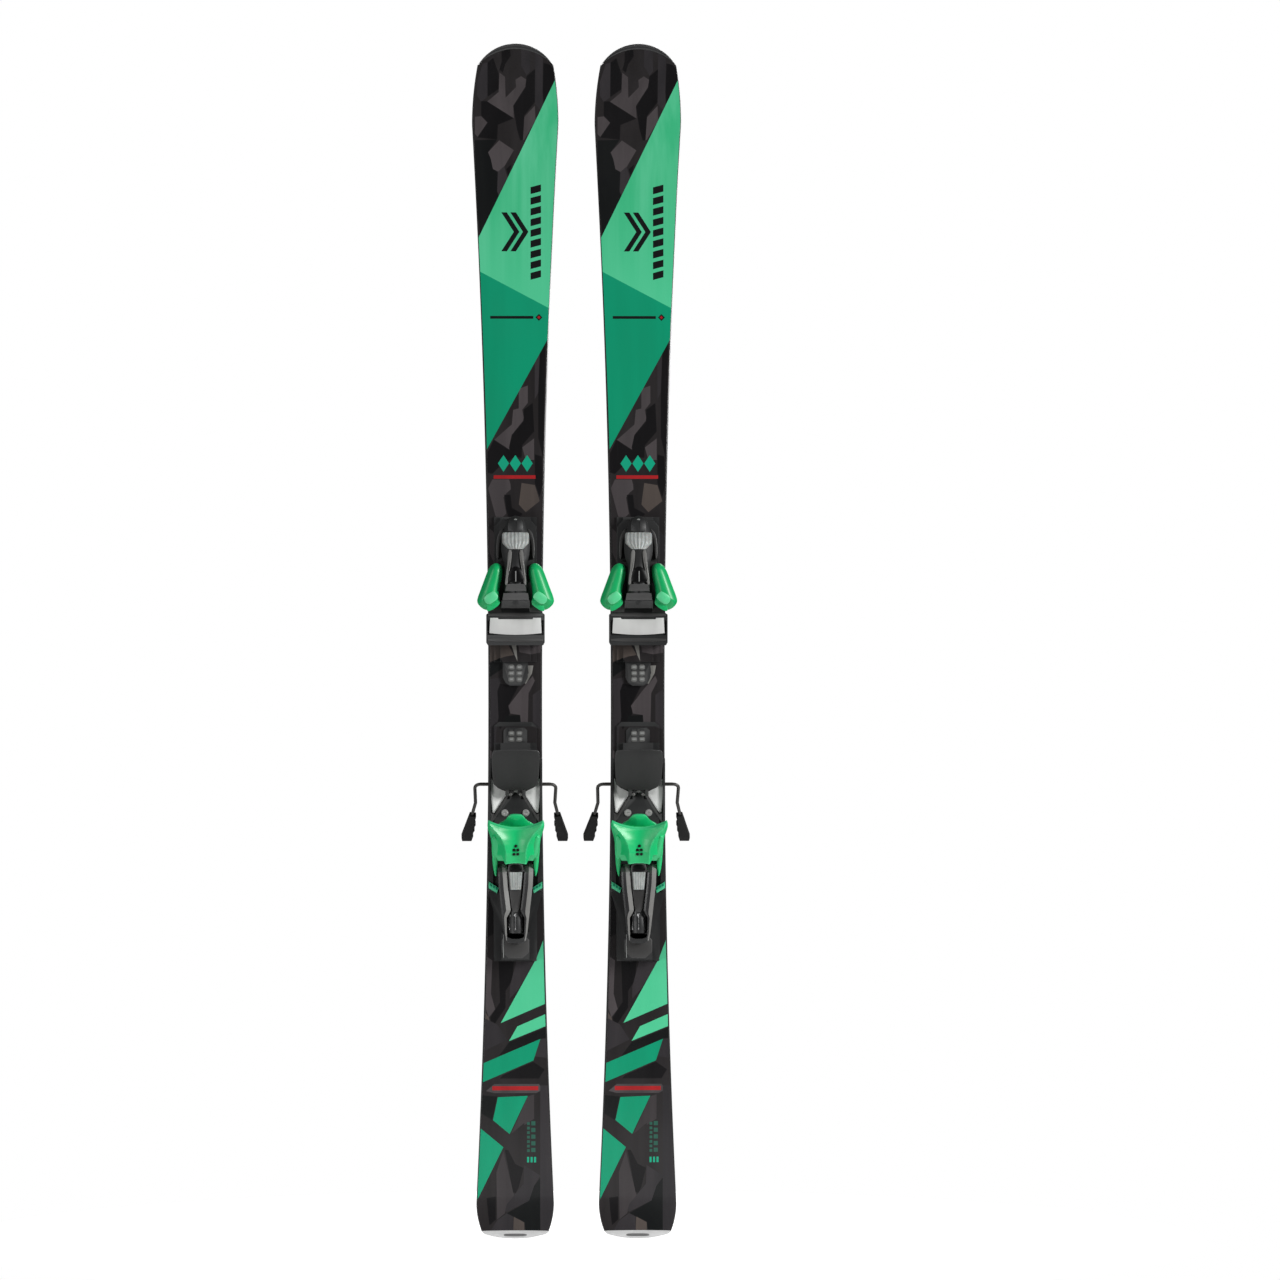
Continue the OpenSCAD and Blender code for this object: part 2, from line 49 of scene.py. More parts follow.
SIDES = {"left": -1, "right": 1}
LETTER = {-1: "l", 1: "r"}
_low, _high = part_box("right_ski_base")
HALF_PITCH = (_low.x + _high.x) / 2
SNOW_Y = _high.y
SKI_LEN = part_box("right_ski_end_guards")[1].z / MM


def spot(side, x, y, z):
    """A point of one ski's frame as a point of the scene."""
    return Vector((side * HALF_PITCH + x * MM, SNOW_Y - z * MM, y * MM))


# ---------------------------------------------------------------- ski shape, in millimetres
REAR_CONTACT, FRONT_CONTACT = 60.0, 1480.0
REAR_DECK, FRONT_DECK, DECK_TOP = 395.0, 1050.0, 20.0
END_T, CAMBER, TIP_RISE, TAIL_RISE = 6.0, 4.0, 56.0, 8.0
WAIST_HALF, WAIST_Y, SIDECUT_R = 38.6, 765.0, 14800.0
TAIL_Y, TAIL_WIDE, TAIL_SIDE_R, TAIL_END_R = 11.0, 50.0, 105.0, 150.0
TIP_WIDE, TIP_ENTRY_R, TIP_R = 1600.0, 440.0, 63.4
TIP_C = SKI_LEN - TIP_R
SHOULDER_X, SHOULDER_Y = 53.7, SKI_LEN - 29.5
GUARD_DEPTH = 6.7
GUARD_SAG = SKI_LEN - GUARD_DEPTH - SHOULDER_Y
GUARD_R = (SHOULDER_X ** 2 + GUARD_SAG ** 2) / (2 * GUARD_SAG)
GUARD_C = SKI_LEN - GUARD_DEPTH - GUARD_R
EDGE_W, EDGE_T = 2.2, 2.0


def smooth(u):
    return u * u * (3 - 2 * u)


def snow_z(y):
    if y < REAR_CONTACT:
        return TAIL_RISE * ((REAR_CONTACT - y) / REAR_CONTACT) ** 2
    if y > FRONT_CONTACT:
        return TIP_RISE * ((y - FRONT_CONTACT) / (SKI_LEN - FRONT_CONTACT)) ** 2.2
    u = (y - REAR_CONTACT) / (FRONT_CONTACT - REAR_CONTACT)
    return 4 * CAMBER * u * (1 - u)


def deck_z(y):
    if y <= REAR_CONTACT or y >= FRONT_CONTACT:
        return snow_z(y) + END_T
    if y < REAR_DECK:
        return END_T + (DECK_TOP - END_T) * smooth((y - REAR_CONTACT) / (REAR_DECK - REAR_CONTACT))
    if y > FRONT_DECK:
        return END_T + (DECK_TOP - END_T) * smooth((FRONT_CONTACT - y) / (FRONT_CONTACT - FRONT_DECK))
    return DECK_TOP



def side_x(y):
    if y < TAIL_WIDE:
        return side_x(TAIL_WIDE) - TAIL_SIDE_R + math.sqrt(TAIL_SIDE_R ** 2 - (TAIL_WIDE - y) ** 2)
    if y > TIP_WIDE:
        return side_x(TIP_WIDE) - TIP_ENTRY_R + math.sqrt(TIP_ENTRY_R ** 2 - (y - TIP_WIDE) ** 2)
    return WAIST_HALF + (y - WAIST_Y) ** 2 / (2 * SIDECUT_R)


def guard_x(y):
    return math.sqrt(max(GUARD_R ** 2 - (y - GUARD_C) ** 2, 0.0))


def plan_x(y):
    """Half the width of the ski between its end guards."""
    return side_x(y) if y <= SHOULDER_Y else min(side_x(y), guard_x(y))


def wall_in(y):
    """How far the top sheet's edge stands in from the ski's edge: the side walls slant."""
    thick = deck_z(y) - snow_z(y)
    if y > SHOULDER_Y:
        return 0.3
    return min(2.4, 0.6 + 0.12 * thick)


def spread(a, b, step):
    n = max(1, round((b - a) / step))
    return [a + (b - a) * i / n for i in range(n)]


def guard_arc_ys(n=14):
    a0 = math.atan2(SHOULDER_Y - GUARD_C, SHOULDER_X)
    return [GUARD_C + GUARD_R * math.sin(a0 + (math.pi / 2 - a0) * i / n) for i in range(1, n + 1)]


BODY_YS = (
    spread(TAIL_Y, TAIL_WIDE, 3) + spread(TAIL_WIDE, REAR_DECK, 11) + spread(REAR_DECK, FRONT_DECK, 30)
    + spread(FRONT_DECK, FRONT_CONTACT, 11) + spread(FRONT_CONTACT, SHOULDER_Y, 5) + [SHOULDER_Y]
)
SHEET_YS = BODY_YS + guard_arc_ys()

# ---------------------------------------------------------------- mesh helpers


def new_mesh(name, verts, faces, materials, indices=None, smooth_faces=True):
    mesh = bpy.data.meshes.new(name)
    mesh.from_pydata([tuple(v) for v in verts], [], faces)
    for material in materials:
        mesh.materials.append(material)
    if indices:
        mesh.polygons.foreach_set("material_index", indices)
    mesh.polygons.foreach_set("use_smooth", [smooth_faces] * len(mesh.polygons))
    mesh.update()
    obj = bpy.data.objects.new(name, mesh)
    bpy.context.scene.collection.objects.link(obj)
    return obj


def sharpen(obj, angle=32):
    """Smooth shading that breaks at edges sharper than the angle."""
    mesh = obj.data
    bm = bmesh.new()
    bm.from_mesh(mesh)
    limit = math.radians(angle)
    for edge in bm.edges:
        edge.smooth = len(edge.link_faces) == 2 and edge.calc_face_angle(0.0) < limit
    bm.to_mesh(mesh)
    bm.free()
    return obj


def finish_piece(obj, body, slot, *nodes):
    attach(obj, body)
    if nodes:
        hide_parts(*nodes)
    return obj


def loft(name, rings, material, closed_ring=True, angle=32):
    """A skin over rings of equal length; each ring is a list of points."""
    count = len(rings[0])
    verts = [p for ring in rings for p in ring]
    faces = []
    for i in range(len(rings) - 1):
        a, b = i * count, (i + 1) * count
        for k in range(count if closed_ring else count - 1):
            m = (k + 1) % count
            faces.append((a + k, a + m, b + m, b + k))
    if closed_ring:
        faces.append(tuple(range(count - 1, -1, -1)))
        faces.append(tuple((len(rings) - 1) * count + k for k in range(count)))
    obj = new_mesh(name, verts, faces, [material])
    fix_normals(obj)
    return sharpen(obj, angle)


def fix_normals(obj):
    bm = bmesh.new()
    bm.from_mesh(obj.data)
    bmesh.ops.recalc_face_normals(bm, faces=bm.faces)
    bm.to_mesh(obj.data)
    bm.free()


# ---------------------------------------------------------------- material helpers


class Look:
    """One procedural material on Principled BSDF, in the scene's own metres."""

    def __init__(self, name):
        self.mat = bpy.data.materials.new(name)
        self.mat.use_nodes = True
        self.tree = self.mat.node_tree
        self.bsdf = self.tree.nodes["Principled BSDF"]
        self.coords = self.add("ShaderNodeTexCoord").outputs["Object"]

    def add(self, kind, **values):
        node = self.tree.nodes.new(kind)
        for key, value in values.items():
            setattr(node, key, value)
        return node

    def link(self, source, socket):
        if hasattr(source, "is_output"):
            self.tree.links.new(source, socket)
        else:
            socket.default_value = source

    def stretch(self, scale):
        node = self.add("ShaderNodeMapping")
        self.link(self.coords, node.inputs["Vector"])
        node.inputs["Scale"].default_value = scale
        return node.outputs["Vector"]

    def noise(self, scale, detail=2.0, rough=0.5, stretch=None, distortion=0.0):
        node = self.add("ShaderNodeTexNoise")
        self.link(self.stretch(stretch) if stretch else self.coords, node.inputs["Vector"])
        node.inputs["Scale"].default_value = scale
        node.inputs["Detail"].default_value = detail
        node.inputs["Roughness"].default_value = rough
        node.inputs["Distortion"].default_value = distortion
        return node.outputs["Fac"]

    def voronoi(self, scale):
        node = self.add("ShaderNodeTexVoronoi", feature="F1")
        self.link(self.coords, node.inputs["Vector"])
        node.inputs["Scale"].default_value = scale
        return node.outputs["Distance"]

    def math(self, op, a, b=0.0):
        node = self.add("ShaderNodeMath", operation=op)
        self.link(a, node.inputs[0])
        self.link(b, node.inputs[1])
        return node.outputs[0]

    def remap(self, value, low, high, to_low=0.0, to_high=1.0):
        node = self.add("ShaderNodeMapRange")
        self.link(value, node.inputs["Value"])
        for key, number in (("From Min", low), ("From Max", high), ("To Min", to_low), ("To Max", to_high)):
            node.inputs[key].default_value = number
        return node.outputs["Result"]

    def mix(self, factor, a, b, blend="MIX"):
        node = self.add("ShaderNodeMix", data_type="RGBA", blend_type=blend)
        self.link(factor, node.inputs[0])
        self.link(rgba(a), node.inputs[6])
        self.link(rgba(b), node.inputs[7])
        return node.outputs[2]

    def edges(self, low=0.52, high=0.62):
        node = self.add("ShaderNodeNewGeometry")
        return self.remap(node.outputs["Pointiness"], low, high)

    def bump(self, height, strength, distance, under=None):
        node = self.add("ShaderNodeBump")
        self.link(height, node.inputs["Height"])
        node.inputs["Strength"].default_value = strength
        node.inputs["Distance"].default_value = distance
        if under is not None:
            self.link(under, node.inputs["Normal"])
        return node.outputs["Normal"]

    def set(self, **values):
        names = {
            "color": "Base Color", "rough": "Roughness", "metal": "Metallic", "normal": "Normal",
            "coat": "Coat Weight", "coat_rough": "Coat Roughness", "coat_normal": "Coat Normal",
            "specular": "Specular IOR Level", "anisotropic": "Anisotropic",
            "subsurface": "Subsurface Weight",
        }
        for key, value in values.items():
            self.link(rgba(value) if key == "color" else value, self.bsdf.inputs[names[key]])
        return self.mat


def rgba(value):
    return (*value, 1.0) if isinstance(value, tuple) and len(value) == 3 else value


def plastic(name, base, edge_highlight, grain=1400.0, grain_depth=0.00006, rough=(0.38, 0.55), coat=0.0,
        specular=0.45):
    """Moulded plastic: spark-eroded grain, faint flow marks, and sharp edges painted lighter in patches as a
    highlight.
    """
    look = Look(name)
    flow = look.noise(28.0, 3.0, 0.6, stretch=(1.0, 1.0, 0.25))
    patches = look.noise(9.0, 2.0)
    color = look.mix(look.remap(flow, 0.35, 0.7, 0.0, 0.35), base,
        tuple(min(1.0, c * 1.5 + 0.004) for c in base))
    # Painted highlight: sharp edges take the lighter colour, in patches.
    color = look.mix(look.math("MULTIPLY", look.edges(), look.remap(patches, 0.35, 0.6, 0.25, 0.75)), color,
        edge_highlight)
    speck = look.noise(grain, 2.0, 0.65)
    scuffs = look.noise(160.0, 3.0, 0.7, stretch=(1.0, 1.0, 0.12))
    roughness = look.math("ADD", look.remap(patches, 0.3, 0.7, *rough),
        look.remap(scuffs, 0.55, 0.75, 0.0, 0.1))
    normal = look.bump(speck, 0.55, grain_depth)
    normal = look.bump(flow, 0.12, 0.0004, normal)
    return look.set(color=color, rough=roughness, normal=normal, coat=coat, coat_rough=0.25,
        specular=specular)


def printed(name, base, streak, depth=0.5, fade=None):
    """The top sheet's print under its clear satin skin: lengthwise streaks and a fine screen grain."""
    look = Look(name)
    long_streaks = look.noise(70.0, 3.0, 0.55, stretch=(1.0, 1.0, 0.018))
    wide_bands = look.noise(26.0, 1.5, 0.5, stretch=(1.0, 1.0, 0.16))
    cloud = look.noise(11.0, 3.0, 0.6, stretch=(1.0, 1.0, 0.5))
    amount = look.math("MULTIPLY", look.remap(look.math("ADD", look.math("MULTIPLY", long_streaks, 0.45),
                                                        look.math("MULTIPLY", wide_bands, 0.55)), 0.38,
                                                        0.62), depth)
    color = look.mix(amount, base, streak)
    color = look.mix(look.remap(cloud, 0.35, 0.75, 0.0, 0.22 * depth), color, tuple(c * 0.6 for c in base))
    screen = look.voronoi(2600.0)
    color = look.mix(look.remap(screen, 0.1, 0.6, 0.0, 0.10), color,
        tuple(min(1.0, c * 1.25 + 0.01) for c in base))
    if fade:
        split = look.add("ShaderNodeSeparateXYZ")
        look.link(look.coords, split.inputs["Vector"])
        color = look.mix(look.remap(split.outputs["Z"], fade[0], fade[1], 0.75, 0.0), color, fade[2])
    scratch = look.noise(900.0, 2.0, 0.7, stretch=(0.35, 0.35, 0.01))
    hairline = look.remap(scratch, 0.66, 0.74)
    peel = look.noise(220.0, 2.0, 0.5)
    roughness = look.math("ADD", look.remap(cloud, 0.3, 0.7, 0.30, 0.42),
        look.math("MULTIPLY", hairline, 0.14))
    normal = look.bump(peel, 0.10, 0.0002)
    skin = look.bump(look.math("ADD", look.math("MULTIPLY", peel, 0.6),
        look.math("MULTIPLY", hairline, 0.25)), 0.16, 0.0001)
    return look.set(color=color, rough=roughness, normal=normal, coat=0.3,
        coat_rough=look.remap(cloud, 0.3, 0.7, 0.08, 0.16),
                    coat_normal=skin, specular=0.22)


def metal(name, base, dark, brush=(1.0, 1.0, 0.02), rough=(0.22, 0.4), grain=900.0, metal=1.0):
    """Bare metal, brushed along its length, with dulled patches and sharp edges painted brighter as a
    highlight.
    """
    look = Look(name)
    lines = look.noise(grain, 3.0, 0.6, stretch=brush)
    stain = look.noise(35.0, 4.0, 0.6)
    color = look.mix(look.remap(stain, 0.4, 0.75, 0.0, 0.6), base, dark)
    # Painted highlight: sharp edges take a brighter tone of the metal.
    color = look.mix(look.math("MULTIPLY", look.edges(), 0.6), color,
        tuple(min(1.0, c * 1.2 + 0.08) for c in base))
    color = look.mix(look.remap(lines, 0.5, 0.75, 0.0, 0.25), color, dark)
    roughness = look.math("ADD", look.remap(stain, 0.3, 0.7, *rough),
        look.remap(lines, 0.4, 0.7, 0.0, 0.12))
    return look.set(color=color, rough=roughness, metal=metal, normal=look.bump(lines, 0.25, 0.00004),
        anisotropic=0.3)


def running_base():
    """Sintered base with its stone-ground pattern: fine long grooves crossed at a slant."""
    look = Look("running_base")
    grooves = look.noise(2400.0, 2.0, 0.5, stretch=(1.0, 1.0, 0.004))
    slant = look.add("ShaderNodeTexWave", wave_type="BANDS", bands_direction="DIAGONAL")
    look.link(look.stretch((1.0, 0.0, 0.35)), slant.inputs["Vector"])
    slant.inputs["Scale"].default_value = 420.0
    slant.inputs["Distortion"].default_value = 1.2
    haze = look.noise(16.0, 4.0, 0.65, stretch=(1.0, 1.0, 0.3))
    color = look.mix(look.remap(haze, 0.35, 0.75, 0.0, 0.6), (0.008, 0.008, 0.009), (0.03, 0.03, 0.032))
    color = look.mix(look.remap(grooves, 0.45, 0.7, 0.0, 0.25), color, (0.05, 0.05, 0.052))
    height = look.math("ADD", grooves, look.math("MULTIPLY", slant.outputs["Fac"], 0.3))
    return look.set(color=color, rough=look.remap(haze, 0.3, 0.7, 0.32, 0.55),
        normal=look.bump(height, 0.5, 0.00005))


def wood():
    look = Look("wood_core")
    rings = look.noise(60.0, 4.0, 0.6, stretch=(1.0, 1.0, 0.03), distortion=0.4)
    pores = look.noise(700.0, 2.0, 0.6, stretch=(1.0, 1.0, 0.02))
    color = look.mix(look.remap(rings, 0.35, 0.65), (0.55, 0.36, 0.18), (0.38, 0.22, 0.10))
    color = look.mix(look.remap(pores, 0.55, 0.7, 0.0, 0.5), color, (0.2, 0.11, 0.05))
    return look.set(color=color, rough=0.6, normal=look.bump(pores, 0.3, 0.0001))


def frosted(name, base, rib=420.0):
    """Frosted window: pale, ribbed, with a cloudy depth."""
    look = Look(name)
    ribs = look.add("ShaderNodeTexWave", wave_type="BANDS", bands_direction="X")
    look.link(look.coords, ribs.inputs["Vector"])
    ribs.inputs["Scale"].default_value = rib
    ribs.inputs["Distortion"].default_value = 0.3
    cloud = look.noise(120.0, 3.0, 0.6)
    color = look.mix(look.remap(ribs.outputs["Fac"], 0.2, 0.9, 0.0, 0.45), base,
        tuple(c * 0.45 for c in base))
    color = look.mix(look.remap(cloud, 0.4, 0.7, 0.0, 0.5), color, tuple(min(1.0, c * 1.5) for c in base))
    normal = look.bump(ribs.outputs["Fac"], 0.25, 0.0004)
    return look.set(color=color, rough=look.remap(cloud, 0.3, 0.7, 0.34, 0.5), normal=normal, coat=0.15,
        coat_rough=0.3,
                    subsurface=0.05)


LIGHT_GREEN, PALE_GREEN = (0.045, 0.47, 0.215), (0.13, 0.60, 0.34)
TEAL, DEEP_TEAL = (0.002, 0.30, 0.155), (0.001, 0.25, 0.125)

MATERIALS = {
    "lgreen": printed("print_light_green", LIGHT_GREEN, PALE_GREEN, 0.75,
    (1.34, 1.50, (0.085, 0.59, 0.31))),
    "teal": printed("print_teal", TEAL, DEEP_TEAL, 0.6),
    "black": printed("print_black", (0.0030, 0.0026, 0.0032), (0.007, 0.006, 0.007), 0.7),
    "dark": printed("print_dark_grey", (0.015, 0.013, 0.0135), (0.026, 0.023, 0.024), 0.8),
    "mid": printed("print_mid_grey", (0.072, 0.062, 0.065), (0.044, 0.038, 0.040), 0.8),
    "grey": printed("print_grey", (0.046, 0.040, 0.042), (0.030, 0.026, 0.028), 0.8),
    "brown": printed("print_warm_grey", (0.085, 0.068, 0.060), (0.055, 0.046, 0.042), 0.8),
    "slate": printed("print_slate", (0.034, 0.030, 0.033), (0.018, 0.017, 0.019), 0.8),
    "red": printed("print_red", (0.40, 0.015, 0.018), (0.25, 0.01, 0.012), 0.7),
    "ink": printed("print_ink", (0.0035, 0.0042, 0.0045), (0.007, 0.008, 0.008), 0.5),
    "mint": printed("print_mint", (0.004, 0.36, 0.21), (0.01, 0.28, 0.16), 0.5),
    "dimmint": printed("print_dim_mint", (0.02, 0.10, 0.07), (0.02, 0.07, 0.05), 0.6),
    "lightsliver": printed("print_pale_grey", (0.22, 0.215, 0.20), (0.15, 0.145, 0.135), 0.6),
    "base": running_base(),
    "edge": metal("edge_steel", (0.55, 0.56, 0.58), (0.32, 0.31, 0.30)),
    "wall": plastic("sidewall", (0.009, 0.008, 0.008), (0.05, 0.05, 0.05), 500.0, 0.00004, (0.3, 0.45)),
    "guard": metal("end_guard", (0.66, 0.66, 0.66), (0.45, 0.45, 0.45), (0.02, 1.0, 1.0), (0.3, 0.45),
    metal=0.25),
    "guard_dark": plastic("end_guard_dark", (0.016, 0.016, 0.017), (0.16, 0.16, 0.16), 700.0, 0.00003,
    (0.25, 0.4), 0.2),
    "guard_line": metal("end_guard_line", (0.20, 0.20, 0.20), (0.10, 0.10, 0.10), (0.02, 1.0, 1.0),
    (0.3, 0.45), metal=0.4),
    "core": wood(),
    "body": plastic("binding_black", (0.014, 0.0145, 0.015), (0.07, 0.07, 0.07)),
    "body_grey": plastic("binding_dark_grey", (0.028, 0.027, 0.0265), (0.14, 0.14, 0.14),
    rough=(0.3, 0.44)),
    "gloss": plastic("binding_gloss_black", (0.014, 0.014, 0.015), (0.10, 0.10, 0.10), 900.0, 0.00003,
    (0.2, 0.3), 0.3),
    "deep": plastic("binding_deep_black", (0.003, 0.003, 0.0033), (0.02, 0.02, 0.02), 900.0, 0.00003,
    (0.3, 0.4), specular=0.15),
    # Pale grey: the toe cheeks' colour, and a painted highlight on the lever arms' right-facing slopes.
    "strip": plastic("pale_grey_and_lever_highlight", (0.15, 0.148, 0.142), (0.3, 0.3, 0.29), 900.0, 0.00004,
    (0.25, 0.36), 0.2),
    # Pale green: a painted highlight on the wings' lower ends.
    "painted_highlight_green": plastic("binding_green_painted_highlight", (0.10, 0.62, 0.28), (0.24, 0.8, 0.45), 900.0, 0.00003,
    (0.34, 0.46), 0.1),
    # The cup's green: the wings' green painted lighter, for the light that falls on the cup.
    "cup_green_painted_light": plastic("cup_green_painted_light", (0.002, 0.47, 0.143), (0.12, 0.80, 0.38), 900.0, 0.00003,
    (0.32, 0.44), 0.15),
    # Light grey: a painted highlight, on the bracket's pins.
    "edge_lit": plastic("binding_painted_highlight_grey", (0.095, 0.094, 0.090), (0.24, 0.24, 0.23), 900.0, 0.00004,
    (0.25, 0.36), 0.2),
    "pale": plastic("binding_pale_line", (0.20, 0.21, 0.20), (0.3, 0.3, 0.3), 900.0, 0.00003),
    "cell": plastic("scale_cell", (0.12, 0.12, 0.115), (0.24, 0.24, 0.23), 900.0, 0.00004, (0.3, 0.4)),
    "green": plastic("binding_green", (0.001, 0.385, 0.110), (0.06, 0.66, 0.28), 900.0, 0.00003,
    (0.34, 0.46), 0.12),
    "pedal": plastic("brake_grey", (0.022, 0.022, 0.022), (0.08, 0.08, 0.08), 700.0, 0.00012, (0.42, 0.58)),
    "tip": plastic("brake_tip_black", (0.003, 0.003, 0.003), (0.05, 0.05, 0.05), 900.0, 0.00006,
    (0.3, 0.42), specular=0.14),
    "black_screw": plastic("black_zinc_screw", (0.02, 0.02, 0.021), (0.10, 0.10, 0.10), 900.0, 0.00003,
    (0.22, 0.34), 0.3),
    "plate": metal("brake_plate", (0.80, 0.81, 0.79), (0.62, 0.63, 0.62), (1.0, 1.0, 1.0), (0.42, 0.55),
    1500.0, 0.1),
    "pad": plastic("slider_pad", (0.55, 0.55, 0.54), (0.7, 0.7, 0.7), 700.0, 0.00003, (0.25, 0.38), 0.2),
    "window": frosted("scale_window", (0.34, 0.355, 0.345)),
    "screw": metal("zinc_steel", (0.46, 0.46, 0.45), (0.22, 0.22, 0.21), (1.0, 1.0, 1.0), (0.25, 0.4),
    900.0, 0.5),
    "spring": metal("spring_steel", (0.35, 0.35, 0.36), (0.18, 0.18, 0.18)),
    "wire": metal("brake_wire", (0.055, 0.052, 0.048), (0.02, 0.02, 0.02), (1.0, 1.0, 0.1), (0.3, 0.45),
    900.0, 0.4),
}
